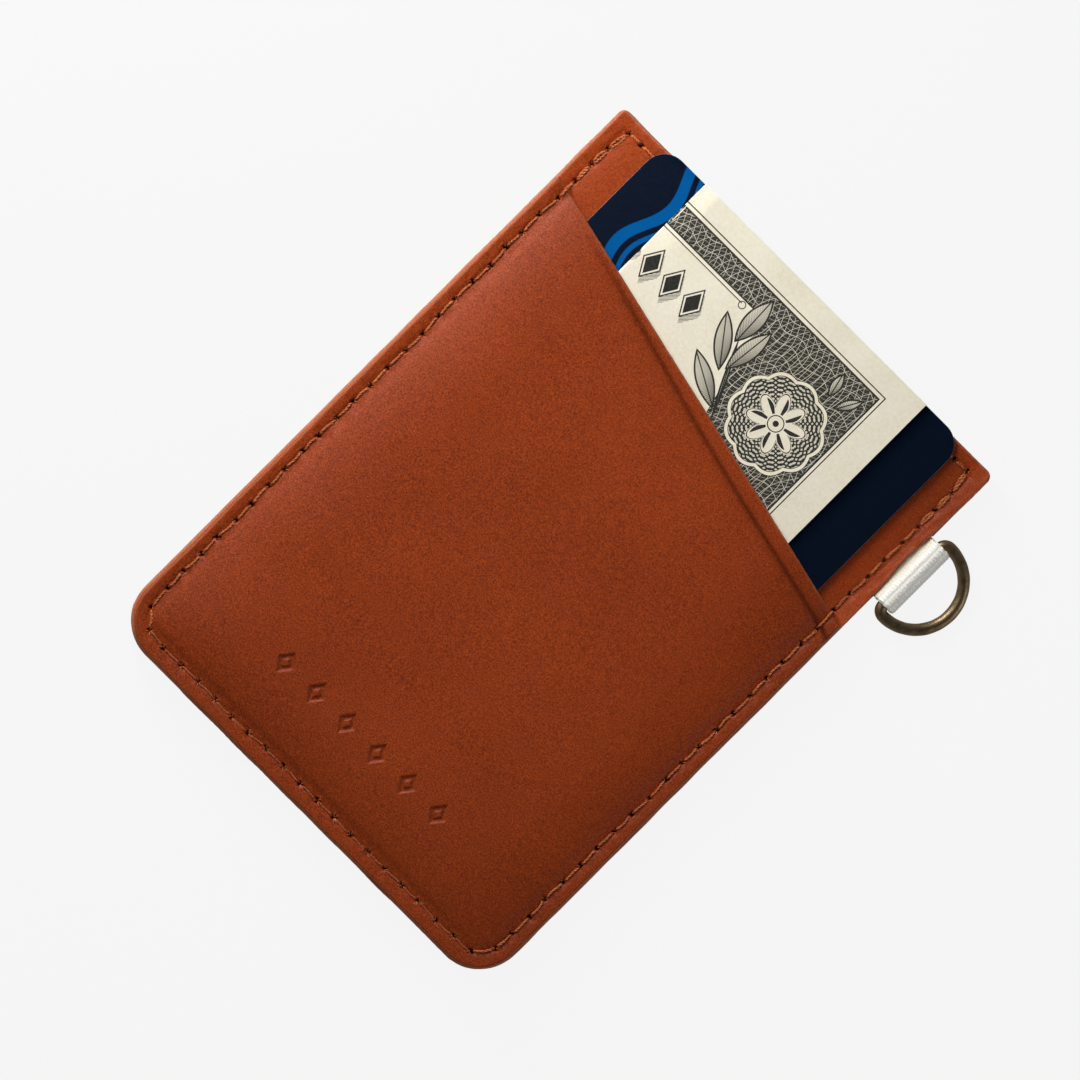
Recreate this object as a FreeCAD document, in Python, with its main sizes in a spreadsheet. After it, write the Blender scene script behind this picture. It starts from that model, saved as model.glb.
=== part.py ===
"""Slim leather card wallet with a slanted front pocket, a webbing loop and a D-ring.

The wallet lies on its back. The origin is the centre of the back face, +Z is out of the front
face, +Y is towards the pocket mouth and +X is towards the D-ring. All sizes are in millimetres.
"""
import FreeCAD, Part
import math
import os
import re

import Sketcher
from FreeCAD import Placement, Rotation, Vector

# alias, value, meaning
DIMENSIONS = [
    ("leather", 1.1, "thickness of every leather layer"),
    ("body_width", 66.5, "width of the leather"),
    ("body_length", 92.5, "height of the leather, bottom edge to top edge"),
    ("bottom_corner", 6.25, "radius of the two bottom corners"),
    ("top_corner", 1.0, "radius of the two top corners"),
    ("edge_round", 0.3, "rounding of the burnished outer edges"),
    ("mouth_y", 26.4, "front mouth on the centre line"),
    ("mouth_slope", 0.2315, "fall of the front mouth per millimetre towards the ring"),
    ("back_mouth_y", 22.0, "straight mouth of the back pocket"),
    ("thumb_notch", 8.0, "radius of the thumb notch in the back mouth"),
    ("pocket_rise", 1.45, "how far the front pocket stands over its flat rim"),
    ("pocket_run", 2.6, "width of the sloping wall round the pocket"),
    ("pocket_half_width", 30.5, "half width of the pocket at its foot"),
    ("pocket_floor_y", -43.3, "foot of the pocket, above the bottom seam"),
    ("pocket_round", 3.5, "rounding along the top of the sloping wall"),
    ("motif_size", 3.4, "height of one pressed lozenge"),
    ("motif_pitch", 5.45, "spacing of the pressed lozenges"),
    ("motif_y", -34.1, "centre line of the pressed row"),
    ("motif_depth", 0.2, "depth of the pressed row"),
    ("side_inset", 2.2, "side seam from the edge"),
    ("bottom_inset", 2.4, "bottom seam from the edge"),
    ("top_inset", 1.95, "top seam from the edge"),
    ("seam_corner", 3.9, "radius of the outer seam at the bottom corners"),
    ("outer_seam_top", 41.1, "first hole of the outer seam"),
    ("stitch_pitch", 3.05, "hole to hole"),
    ("hole_radius", 0.45, "needle hole"),
    ("thread_radius", 0.17, "sewing thread"),
    ("leg_offset", 0.25, "centre of a thread from the centre of its hole"),
    ("thread_gap", 0.03, "room between a thread and the leather"),
    ("backtack", 8.4, "length sewn twice at each upper corner"),
    ("backtack_offset", 0.8, "sideways step of the second row there"),
    ("webbing_width", 10.3, "width of the strap"),
    ("webbing", 0.85, "thickness of the strap where it is free"),
    ("tail_thickness", 0.5, "thickness of one tail where it is pressed flat"),
    ("tail_inner_x", 27.4, "inner end of the tails"),
    ("tail_outer_x", 33.05, "outer end of the tails"),
    ("loop_y", 29.8, "middle of the strap along the side edge"),
    ("loop_hinge_x", 33.85, "line about which the free loop flexes"),
    ("loop_root", 0.6, "radius of the rounded foot of the loop"),
    ("relief_depth", 0.3, "relief in the leather edge beside the loop"),
    ("relief_width", 11.2, "length of that relief"),
    ("bar_x", 34.95, "straight bar of the ring"),
    ("bar_gap", 0.05, "room between the bar and the strap"),
    ("wire_radius", 0.8, "wire of the ring"),
    ("ring_radius", 6.1, "wire centre line on the round side"),
    ("ring_bend", 1.01, "wire centre line at the two tight bends"),
    ("ring_droop", 11.2, "degrees by which the ring hangs to meet the surface"),
    ("card_width", 53.98, "short side of an ID-1 card"),
    ("card_length", 85.6, "long side of an ID-1 card"),
    ("card_thickness", 0.76, "thickness of an ID-1 card"),
    ("card_corner", 3.18, "corner radius of an ID-1 card"),
    ("card_x", 0.7, "middle of the card"),
    ("card_top_y", 46.53, "top edge of the card"),
    ("chip_width", 11.4, "contact plate across the card"),
    ("chip_length", 12.6, "contact plate along the card"),
    ("chip_corner", 2.2, "corner radius of the contact plate"),
    ("chip_plate", 0.15, "thickness of the contact plate"),
    ("chip_lump", 8.0, "side of the potted chip under the plate"),
    ("chip_lump_depth", 0.35, "depth of the potted chip"),
    ("chip_from_side", 23.9, "chip centre from the card's side edge"),
    ("chip_from_end", 15.1, "chip centre from the card's lower end"),
    ("stripe_width", 10.3, "magnetic stripe"),
    ("stripe_from_side", 5.0, "stripe from the card's side edge"),
    ("stripe_depth", 0.05, "thickness of the stripe"),
    ("note_left_x", -18.95, "outer fold of the banknote"),
    ("note_width", 39.7, "width of the banknote once folded"),
    ("note_length", 66.3, "height of the banknote"),
    ("note_top_y", 46.55, "top edge of the banknote"),
    ("free_end_step", 0.2, "how far the hidden edges stop short of the shown one"),
    ("paper", 0.11, "thickness of the paper"),
    ("fold_gap", 0.03, "gap between folded layers"),
    ("layer_gap", 0.03, "gap between the leather, the card and the note"),
]
ALIASES = {alias for alias, _, _ in DIMENSIONS}
PAST_EDGE = "5"  # how far a cutting outline runs past what it trims

# Heights of the stacked surfaces, and the main places, as sums of the named sizes.
LINING_Z = "leather"
MIDDLE_Z = "2 * leather"
RIM_Z = "3 * leather"
RIM_TOP_Z = "4 * leather"
POCKET_TOP_Z = "4 * leather + pocket_rise"
CARD_Z = "3 * leather + layer_gap"
CARD_FACE_Z = "3 * leather + layer_gap + card_thickness"
NOTE_Z = "3 * leather + 2 * layer_gap + card_thickness"
HALF_WIDTH = "body_width / 2"
HALF_LENGTH = "body_length / 2"
CARD_LEFT = "card_x - card_width / 2"
CARD_RIGHT = "card_x + card_width / 2"
CARD_BOTTOM = "card_top_y - card_length"
CHIP_X = "card_x - card_width / 2 + chip_from_side"
CHIP_Y = "card_top_y - card_length + chip_from_end"
STRAP_TOP = "loop_y + webbing_width / 2"
LOOP_RADIUS = "wire_radius + bar_gap + webbing"

doc = FreeCAD.newDocument("Wallet")
sheet = doc.addObject("Spreadsheet::Sheet", "Dimensions")
sums = doc.addObject("Spreadsheet::Sheet", "Sums")  # one cell, for working out a sum; removed at the end


def fill_sheet():
    """One row for each driving size: its name, its value and what it is."""
    for row, (alias, number, meaning) in enumerate(DIMENSIONS, start=1):
        sheet.set(f"A{row}", alias)
        sheet.set(f"B{row}", str(number))
        sheet.set(f"C{row}", meaning)
        sheet.setAlias(f"B{row}", alias)
    doc.recompute()


def bound(text):
    """The text with each size's name written as a reference to its cell."""
    return re.sub(r"[a-z_]+", lambda m: f"Dimensions.{m[0]}" if m[0] in ALIASES else m[0], text)


def number(text):
    """The number that a sum of named sizes comes to."""
    sums.set("A1", f"={bound(text)}")
    sums.recompute()
    return float(sums.get("A1"))


def minus(text):
    return f"-({text})"


# Sketches and features


def plane_of(body, role):
    return next(o for o in body.Origin.OriginFeatures if o.Role == role)


def new_body(name):
    body = doc.addObject("PartDesign::Body", name)
    body.Label = name
    return body


def new_sketch(body, name, plane="XY_Plane", height="0"):
    """An empty sketch on one of the body's own origin planes, moved along its normal."""
    sketch = body.newObject("Sketcher::SketchObject", name)
    sketch.AttachmentSupport = [(plane_of(body, plane), "")]
    sketch.MapMode = "FlatFace"
    sketch.setExpression("AttachmentOffset.Base.z", bound(height))
    return sketch


def pin(sketch, kind, geometry, point, text):
    """Ties one coordinate of a point to the sheet, measured from the sketch's origin."""
    index = sketch.addConstraint(Sketcher.Constraint(kind, -1, 1, geometry, point, number(text)))
    sketch.setExpression(f"Constraints[{index}]", bound(text))


def arc_edge(start, end, centre, turn):
    """The arc from start to end about centre, anticlockwise for turn 1 and clockwise for turn -1."""
    first, last = (start, end) if turn > 0 else (end, start)
    angles = [math.atan2(p.y - centre.y, p.x - centre.x) for p in (first, last)]
    if angles[1] <= angles[0]:
        angles[1] += 2 * math.pi
    circle = Part.Circle(centre, Vector(0, 0, 1), (first - centre).Length)
    return Part.ArcOfCircle(circle, *angles)


def draw(sketch, corners, closed=True):
    """A fully tied outline.

    A corner is (x, y), or (x, y, centre x, turn) where an arc leads to the next corner. The
    centre of an arc between corners of equal height is given by its y.
    """
    places = [Vector(number(c[0]), number(c[1]), 0) for c in corners]
    count = len(corners) if closed else len(corners) - 1
    ends = []
    for i in range(count):
        start, end = places[i], places[(i + 1) % len(corners)]
        if len(corners[i]) == 2:
            geometry = sketch.addGeometry(Part.LineSegment(start, end), False)
            ends.append((geometry, 1, 2))
            continue
        level = abs(start.y - end.y) < 1e-9
        known = number(corners[i][2])
        if level:
            centre = Vector((start.x + end.x) / 2, known, 0)
        else:
            reach = (start.x - known) ** 2 - (end.x - known) ** 2 + start.y ** 2 - end.y ** 2
            centre = Vector(known, reach / (2 * (start.y - end.y)), 0)
        turn = corners[i][3]
        geometry = sketch.addGeometry(arc_edge(start, end, centre, turn), False)
        ends.append((geometry, 1, 2) if turn > 0 else (geometry, 2, 1))
    for i in range(count if closed else count - 1):
        (this, _, this_end), (after, after_start, _) = ends[i], ends[(i + 1) % count]
        sketch.addConstraint(Sketcher.Constraint("Coincident", this, this_end, after, after_start))
    for i, corner in enumerate(corners):
        geometry, point = (ends[i][0], ends[i][1]) if i < count else (ends[-1][0], ends[-1][2])
        pin(sketch, "DistanceX", geometry, point, corner[0])
        pin(sketch, "DistanceY", geometry, point, corner[1])
        if len(corner) > 2:
            level = abs(places[i].y - places[(i + 1) % len(corners)].y) < 1e-9
            pin(sketch, "DistanceY" if level else "DistanceX", geometry, 3, corner[2])
    return sketch


def draw_box(sketch, left, bottom, right, top):
    return draw(sketch, [(left, bottom), (right, bottom), (right, top), (left, top)])


def draw_circle(sketch, x, y, radius):
    circle = Part.Circle(Vector(number(x), number(y), 0), Vector(0, 0, 1), number(radius))
    geometry = sketch.addGeometry(circle, False)
    pin(sketch, "DistanceX", geometry, 3, x)
    pin(sketch, "DistanceY", geometry, 3, y)
    index = sketch.addConstraint(Sketcher.Constraint("Radius", geometry, number(radius)))
    sketch.setExpression(f"Constraints[{index}]", bound(radius))
    return sketch


def extrude(body, kind, sketch, length, reversed_way=False, taper=None):
    """A Pad or a Pocket of a sketch. A pocket has to take material away."""
    before = body.Shape.Volume if body.Tip else 0.0
    feature = body.newObject(f"PartDesign::{kind}", f"{sketch.Name}_{kind.lower()}")
    feature.Profile = sketch
    feature.setExpression("Length", bound(length))
    feature.Reversed = reversed_way
    if taper:
        feature.setExpression("TaperAngle", bound(taper))
    sketch.Visibility = False
    doc.recompute()
    changed = body.Shape.Volume - before
    if (changed >= 0) == (kind == "Pocket"):
        raise RuntimeError(f"{feature.Name} changed the volume by {changed:.3f}")
    return feature


def round_edges(body, name, radius, wanted):
    """A Fillet on those edges of the body's tip that wanted() picks by their bounding boxes."""
    tip = body.Tip
    names = [f"Edge{i}" for i, e in enumerate(tip.Shape.Edges, start=1) if wanted(e.BoundBox)]
    if not names:
        raise RuntimeError(f"{name} finds no edge")
    fillet = body.newObject("PartDesign::Fillet", name)
    fillet.Base = (tip, names)
    fillet.setExpression("Radius", bound(radius))
    doc.recompute()
    return fillet


def upright_at(x, y):
    """Picks the vertical edges that stand at a place, given without its sign in x."""
    x_there, y_there = number(x), number(y)

    def wanted(box):
        flat = box.XLength < 0.01 and box.YLength < 0.01 and box.ZLength > 0.01
        return flat and abs(abs(box.XMin) - x_there) < 0.01 and abs(box.YMin - y_there) < 0.01

    return wanted


def rim_at(height, x, bottom):
    """Picks the outer edges at one height along the sides and the bottom of the leather."""
    z, side, low = number(height), number(x), number(bottom)
    corner = number("bottom_corner")

    def wanted(box):
        if abs(box.ZMin - z) > 0.01 or abs(box.ZMax - z) > 0.01:
            return False
        on_side = box.XLength < 0.01 and abs(abs(box.XMin) - side) < 0.01
        on_bottom = box.YLength < 0.01 and abs(box.YMin - low) < 0.01
        on_corner = abs(box.XLength - corner) < 0.1 and abs(box.YMin - low) < 0.1
        return on_side or on_bottom or on_corner

    return wanted


# Leather


def leather_outline(top_corners):
    """The full-height outline, with the shallow relief beside the webbing loop."""
    inner = f"{HALF_WIDTH} - relief_depth"
    low = "loop_y - relief_width / 2"
    high = "loop_y + relief_width / 2"
    relief = [(HALF_WIDTH, low), (inner, low), (inner, high), (HALF_WIDTH, high)]
    foot = [(minus(HALF_WIDTH), minus(HALF_LENGTH)), (HALF_WIDTH, minus(HALF_LENGTH))]
    return foot + relief + top_corners


def full_height_panel(name, height, recess_up):
    """A full-height layer, with a recess that takes one tail of the strap."""
    body = new_body(name)
    top = [(HALF_WIDTH, HALF_LENGTH), (minus(HALF_WIDTH), HALF_LENGTH)]
    outline = draw(new_sketch(body, f"{name}_outline", height=height), leather_outline(top))
    extrude(body, "Pad", outline, "leather")
    round_edges(body, f"{name}_bottom_corners", "bottom_corner", upright_at(HALF_WIDTH, minus(HALF_LENGTH)))
    round_edges(body, f"{name}_top_corners", "top_corner", upright_at(HALF_WIDTH, HALF_LENGTH))
    recess = new_sketch(body, f"{name}_recess", height=MIDDLE_Z)
    past = f"{HALF_WIDTH} + {PAST_EDGE}"
    draw_box(recess, "tail_inner_x", f"{STRAP_TOP} - webbing_width", past, STRAP_TOP)
    extrude(body, "Pocket", recess, "tail_thickness", reversed_way=recess_up)
    return body


def front_pocket_blank():
    """The front pocket before sewing: a flat rim round a dished middle, trimmed by the slanted mouth."""
    body = new_body("front_pocket_leather")
    rim = new_sketch(body, "front_rim", height=RIM_Z)
    draw_box(rim, minus(HALF_WIDTH), minus(HALF_LENGTH), HALF_WIDTH, HALF_LENGTH)
    extrude(body, "Pad", rim, "leather")
    round_edges(body, "front_corners", "bottom_corner", upright_at(HALF_WIDTH, minus(HALF_LENGTH)))
    round_edges(body, "front_edge", "edge_round", rim_at(RIM_TOP_Z, HALF_WIDTH, minus(HALF_LENGTH)))
    wall = "-atan(pocket_run / pocket_rise)"
    open_end = f"{HALF_LENGTH} + {PAST_EDGE}"
    foot = (minus("pocket_half_width"), "pocket_floor_y", "pocket_half_width", open_end)
    dome = draw_box(new_sketch(body, "front_dome", height=RIM_TOP_Z), *foot)
    extrude(body, "Pad", dome, "pocket_rise", taper=wall)
    top_z = number(POCKET_TOP_Z)
    open_end_y = number(HALF_LENGTH)
    round_edges(
        body,
        "front_dome_round",
        "pocket_round",
        lambda box: abs(box.ZMin - top_z) < 0.01 and box.ZLength < 0.01 and box.YMin < open_end_y,
    )
    cavity = draw_box(new_sketch(body, "front_cavity", height=RIM_Z), *foot)
    extrude(body, "Pocket", cavity, "pocket_rise", reversed_way=True, taper=wall)
    mouth = new_sketch(body, "front_mouth")
    past = f"({HALF_WIDTH} + {PAST_EDGE})"
    above = f"{HALF_LENGTH} + 4 * {PAST_EDGE}"
    draw(mouth, [
        (minus(past), f"mouth_y + mouth_slope * {past}"),
        (past, f"mouth_y - mouth_slope * {past}"),
        (past, above),
        (minus(past), above),
    ])
    extrude(body, "Pocket", mouth, "10 * leather", reversed_way=True)
    press_motifs(body)
    return body


def press_motifs(body):
    """A centred row of six small lozenges pressed into the face."""
    first = "-2.5 * motif_pitch"
    sketch = new_sketch(body, "motif", height=POCKET_TOP_Z)
    draw(sketch, [
        (f"{first} - motif_size / 3", "motif_y"),
        (first, "motif_y - motif_size / 2"),
        (f"{first} + motif_size / 3", "motif_y"),
        (first, "motif_y + motif_size / 2"),
    ])
    pressed = extrude(body, "Pocket", sketch, "motif_depth")
    row = body.newObject("PartDesign::LinearPattern", "motif_row")
    row.Originals = [pressed]
    row.Direction = (sketch, ["H_Axis"])
    row.setExpression("Length", bound("5 * motif_pitch"))
    row.Occurrences = 6
    body.Tip = row
    doc.recompute()


def back_pocket_blank():
    """The back pocket before sewing: flat, with a straight mouth and a thumb notch."""
    body = new_body("back_pocket_leather")
    outline = new_sketch(body, "back_outline")
    draw_box(outline, minus(HALF_WIDTH), minus(HALF_LENGTH), HALF_WIDTH, "back_mouth_y")
    extrude(body, "Pad", outline, "leather")
    round_edges(body, "back_corners", "bottom_corner", upright_at(HALF_WIDTH, minus(HALF_LENGTH)))
    round_edges(body, "back_edge", "edge_round", rim_at("0", HALF_WIDTH, minus(HALF_LENGTH)))
    notch = draw_circle(new_sketch(body, "back_thumb_notch"), "0", "back_mouth_y", "thumb_notch")
    extrude(body, "Pocket", notch, "leather", reversed_way=True)
    return body


# Seams. Each is a lockstitch: a needle thread on the front, a bobbin thread on the back.


def outer_seam_holes():
    """Down the left side, round both bottom corners and up the right side, evenly spaced."""
    side = number(f"{HALF_WIDTH} - side_inset")
    low = number(f"bottom_inset - {HALF_LENGTH}")
    top, radius = number("outer_seam_top"), number("seam_corner")
    slack = radius * (1 - math.sqrt(0.5))
    left = [Vector(-side, top, 0), Vector(-side, low + radius, 0)]
    left_arc = Part.Arc(left[1], Vector(-side + slack, low + slack, 0), Vector(-side + radius, low, 0))
    right = [Vector(side, low + radius, 0), Vector(side, top, 0)]
    right_arc = Part.Arc(Vector(side - radius, low, 0), Vector(side - slack, low + slack, 0), right[0])
    path = Part.Wire([
        Part.LineSegment(*left).toShape(),
        left_arc.toShape(),
        Part.LineSegment(Vector(-side + radius, low, 0), Vector(side - radius, low, 0)).toShape(),
        right_arc.toShape(),
        Part.LineSegment(*right).toShape(),
    ])
    return path.discretize(Number=round(path.Length / number("stitch_pitch")) + 1)


def top_seam_holes():
    """Along the top edge, and a short way down beside the outer seam at each end."""
    side = number(f"{HALF_WIDTH} - side_inset - backtack_offset")
    top = number(f"{HALF_LENGTH} - top_inset")
    low = top - number("backtack")
    turns = [Vector(-side, low, 0), Vector(-side, top, 0), Vector(side, top, 0), Vector(side, low, 0)]
    holes = turns[:1]
    for start, end in zip(turns, turns[1:]):
        run = Part.LineSegment(start, end).toShape()
        holes += run.discretize(Number=round(run.Length / number("stitch_pitch")) + 1)[1:]
    return holes


def face_levels(side):
    """The high and low surface on one side of the wallet, and a test for being over the pocket panel."""
    if side > 0:
        middle, slope = number("mouth_y"), number("mouth_slope")
        return number(RIM_TOP_Z), number(RIM_Z), lambda p: p.y - (middle - slope * p.x)
    back_mouth = number("back_mouth_y")
    return 0.0, number(LINING_Z), lambda p: p.y - back_mouth


def stitch_run(start, end, side):
    """The visible part of a stitch, as points just under the surface, stepping where it crosses a mouth."""
    radius, gap, offset = number("thread_radius"), number("thread_gap"), number("leg_offset")
    pocket_level, panel_level, above_mouth = face_levels(side)
    sink = side * (radius + gap)
    along = (end - start).normalize() * offset
    ends = [start + along, end - along]
    over = [above_mouth(p) for p in ends]
    levels = [(panel_level if o > 0 else pocket_level) - sink for o in over]
    points = [Vector(p.x, p.y, level) for p, level in zip(ends, levels)]
    if levels[0] != levels[1]:
        share = over[0] / (over[0] - over[1])
        edge = ends[0] + (ends[1] - ends[0]) * share
        clear = (ends[0] if over[0] > 0 else ends[1]) - edge
        beyond = edge + clear.normalize() * (2 * radius)
        points.insert(1, Vector(beyond.x, beyond.y, pocket_level - sink))
    return points


def tube(points, radius):
    """Round runs through the points, with a ball at each bend."""
    parts = []
    for start, end in zip(points, points[1:]):
        parts.append(Part.makeCylinder(radius, (end - start).Length, start, end - start))
    for place in points[1:-1]:
        parts.append(Part.makeSphere(radius, place))
    return parts[0].multiFuse(parts[1:]).removeSplitter().Solids[0]


def seam_thread(holes, side):
    """One solid for each stitch: its run along the surface and the two legs that meet the other thread."""
    radius = number("thread_radius")
    meeting = number(MIDDLE_Z) + side * number("thread_gap")
    stitches = []
    for start, end in zip(holes, holes[1:]):
        run = stitch_run(start, end, side)
        legs = [Vector(p.x, p.y, meeting) for p in (run[0], run[-1])]
        stitches.append(tube([legs[0], *run, legs[1]], radius))
    return Part.makeCompound(stitches)


def channel(start, end, side):
    """The furrow that a straight run of thread lies in, open to the surface."""
    half = number("thread_radius + thread_gap")
    length = (end - start).Length
    box = Part.makeBox(length, 2 * half, 4 * half, Vector(0, -half, -half if side > 0 else -3 * half))
    turn = math.degrees(math.atan2(end.y - start.y, end.x - start.x))
    box.Placement = Placement(Vector(start.x, start.y, start.z), Rotation(Vector(0, 0, 1), turn))
    return box


def seam_cuts(seams):
    """All needle holes and thread furrows as one cutting shape."""
    bottom, top = -1.0, number(POCKET_TOP_Z) + 1.0
    parts = []
    for holes in seams:
        for hole in holes:
            place = Vector(hole.x, hole.y, bottom)
            parts.append(Part.makeCylinder(number("hole_radius"), top - bottom, place))
        for start, end in zip(holes, holes[1:]):
            for side in (1, -1):
                run = stitch_run(start, end, side)
                for a, b in zip(run, run[1:]):
                    parts += furrows(a, b, side)
    return parts[0].multiFuse(parts[1:])


def furrows(a, b, side):
    """The furrow of a level run, or of the lower end of a run that steps down to the panel."""
    if abs(a.z - b.z) < 1e-9:
        return [channel(a, b, side)]
    low, high = (a, b) if side * (a.z - b.z) < 0 else (b, a)
    near = Vector(high.x, high.y, low.z)
    return [channel(low, near, side)]


def shape_feature(name, shape):
    feature = doc.addObject("Part::Feature", name)
    feature.Shape = shape
    feature.Label = name
    return feature


def cut(name, base, tool):
    """Base less tool, as a named piece."""
    result = doc.addObject("Part::Cut", name)
    result.Base = base
    result.Tool = tool
    result.Label = name
    doc.recompute()
    if result.Shape.Volume >= base.Shape.Volume:
        raise RuntimeError(f"{name} lost no material")
    return result


# Webbing and ring


def webbing_tail(name, height):
    """One end of the strap, pressed flat between the full-height layers."""
    tail = doc.addObject("Part::Box", name)
    tail.Label = name
    tail.setExpression("Length", bound("tail_outer_x - tail_inner_x"))
    tail.setExpression("Width", bound("webbing_width"))
    tail.setExpression("Height", bound("tail_thickness"))
    tail.setExpression("Placement.Base.x", bound("tail_inner_x"))
    tail.setExpression("Placement.Base.y", bound("loop_y - webbing_width / 2"))
    tail.setExpression("Placement.Base.z", bound(height))
    doc.recompute()
    return tail


def webbing_loop():
    """The free part of the strap: it leaves the leather, goes round the bar and comes back."""
    body = new_body("webbing_loop")
    ring_top, ring_bottom = f"{MIDDLE_Z} + ({LOOP_RADIUS})", f"{MIDDLE_Z} - ({LOOP_RADIUS})"
    root_top, root_bottom = f"{MIDDLE_Z} + loop_root", f"{MIDDLE_Z} - loop_root"
    outline = new_sketch(body, "loop_outline", "XZ_Plane", minus(STRAP_TOP))
    draw(outline, [
        ("bar_x", ring_bottom, "bar_x", 1),
        ("bar_x", ring_top),
        ("loop_hinge_x", root_top, "loop_hinge_x", 1),
        ("loop_hinge_x", root_bottom),
    ])
    extrude(body, "Pad", outline, "webbing_width")
    eye = new_sketch(body, "loop_eye", "XZ_Plane", minus(STRAP_TOP))
    draw_circle(eye, "bar_x", MIDDLE_Z, "wire_radius + bar_gap")
    extrude(body, "Pocket", eye, "webbing_width", reversed_way=True)
    return body


def d_ring():
    """Round wire bent to a D. Its straight bar is the body's own Y axis, about which it hangs."""
    body = new_body("d_ring")
    straight = "ring_radius - ring_bend"
    spine = new_sketch(body, "ring_spine")
    draw(spine, [
        ("0", "0"),
        ("0", straight, "ring_bend", -1),
        ("ring_bend", "ring_radius", "ring_bend", -1),
        ("ring_bend", minus("ring_radius"), "ring_bend", -1),
        ("0", minus(straight)),
    ])
    section = draw_circle(new_sketch(body, "ring_section", "XZ_Plane"), "0", "0", "wire_radius")
    pipe = body.newObject("PartDesign::AdditivePipe", "ring_wire")
    pipe.Profile = section
    pipe.Spine = (spine, [])
    body.Placement = Placement(Vector(), Rotation(Vector(0, 1, 0), 1))
    body.setExpression("Placement.Rotation.Angle", bound("ring_droop"))
    body.setExpression("Placement.Base.x", bound("bar_x"))
    body.setExpression("Placement.Base.y", bound("loop_y"))
    body.setExpression("Placement.Base.z", bound(MIDDLE_Z))
    doc.recompute()
    return body


# Card and banknote


def around_chip(width, length):
    """Left, bottom, right and top of a rectangle about the chip's centre."""
    half_x, half_y = f"{width} / 2", f"{length} / 2"
    return f"{CHIP_X} - {half_x}", f"{CHIP_Y} - {half_y}", f"{CHIP_X} + {half_x}", f"{CHIP_Y} + {half_y}"


def card_chip():
    """The contact plate, flush with the card's face, and the potted chip under it."""
    body = new_body("card_chip_module")
    plate = new_sketch(body, "chip_plate", height=f"{CARD_FACE_Z} - chip_plate")
    draw_box(plate, *around_chip("chip_width", "chip_length"))
    extrude(body, "Pad", plate, "chip_plate")
    round_edges(body, "chip_corners", "chip_corner", lambda box: box.XLength < 0.01 and box.YLength < 0.01)
    lump = new_sketch(body, "chip_lump", height=f"{CARD_FACE_Z} - chip_plate")
    draw_box(lump, *around_chip("chip_lump", "chip_lump"))
    extrude(body, "Pad", lump, "chip_lump_depth", reversed_way=True)
    return body


def card_stripe():
    """The magnetic stripe, flush with the card's back."""
    body = new_body("card_magnetic_stripe")
    left = f"{CARD_LEFT} + stripe_from_side"
    outline = new_sketch(body, "stripe_outline", height=CARD_Z)
    draw_box(outline, left, CARD_BOTTOM, f"{left} + stripe_width", "card_top_y")
    extrude(body, "Pad", outline, "stripe_depth")
    return body


def card_blank():
    """An ID-1 card before the chip and the stripe are let in."""
    body = new_body("card_blank")
    outline = new_sketch(body, "card_outline", height=CARD_Z)
    draw_box(outline, CARD_LEFT, CARD_BOTTOM, CARD_RIGHT, "card_top_y")
    extrude(body, "Pad", outline, "card_thickness")
    round_edges(body, "card_corners", "card_corner", lambda box: box.XLength < 0.01 and box.YLength < 0.01)
    return body


def folded_banknote():
    """One sheet folded in half and in half again, with the inner fold lying in the outer one."""
    body = new_body("folded_banknote")
    fold_x = "note_left_x + 2 * paper + 1.5 * fold_gap"
    shown_end = "note_left_x + note_width"
    hidden_end = f"{shown_end} - free_end_step"
    turn_x = f"{hidden_end} - paper - fold_gap"

    def level(papers, gaps):
        return f"{NOTE_Z} + {papers} * paper + {gaps} * fold_gap"

    outline = new_sketch(body, "note_outline", "XZ_Plane", minus("note_top_y"))
    draw(outline, [
        (shown_end, level(4, 3)),
        (fold_x, level(4, 3), fold_x, 1),
        (fold_x, level(0, 0)),
        (turn_x, level(0, 0), turn_x, 1),
        (turn_x, level(2, 1)),
        (fold_x, level(2, 1), fold_x, -1),
        (fold_x, level(2, 2)),
        (hidden_end, level(2, 2)),
        (hidden_end, level(3, 2)),
        (fold_x, level(3, 2), fold_x, 1),
        (fold_x, level(1, 1)),
        (turn_x, level(1, 1), turn_x, -1),
        (turn_x, level(1, 0)),
        (fold_x, level(1, 0), fold_x, -1),
        (fold_x, level(3, 3)),
        (shown_end, level(3, 3)),
    ])
    extrude(body, "Pad", outline, "note_length")
    return body


def build():
    """Makes every piece and returns those that are written out, in order from the back to the front."""
    fill_sheet()
    outer, top = outer_seam_holes(), top_seam_holes()
    cuts = shape_feature("seam_cuts", seam_cuts([outer, top]))
    chip, stripe = card_chip(), card_stripe()
    card_with_seat = cut("card_with_chip_seat", card_blank(), chip)
    tail_low = f"{MIDDLE_Z} - tail_thickness"
    return [
        cut("back_pocket_panel", back_pocket_blank(), cuts),
        cut("lining_panel", full_height_panel("lining_leather", LINING_Z, recess_up=False), cuts),
        cut("centre_panel", full_height_panel("centre_leather", MIDDLE_Z, recess_up=True), cuts),
        cut("front_pocket_panel", front_pocket_blank(), cuts),
        shape_feature("outer_seam_needle_thread", seam_thread(outer, 1)),
        shape_feature("outer_seam_bobbin_thread", seam_thread(outer, -1)),
        shape_feature("top_seam_needle_thread", seam_thread(top, 1)),
        shape_feature("top_seam_bobbin_thread", seam_thread(top, -1)),
        cut("webbing_tail_back", webbing_tail("tail_back", tail_low), cuts),
        cut("webbing_tail_front", webbing_tail("tail_front", MIDDLE_Z), cuts),
        webbing_loop(),
        d_ring(),
        cut("card_body", card_with_seat, stripe),
        chip,
        stripe,
        folded_banknote(),
    ]


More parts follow.
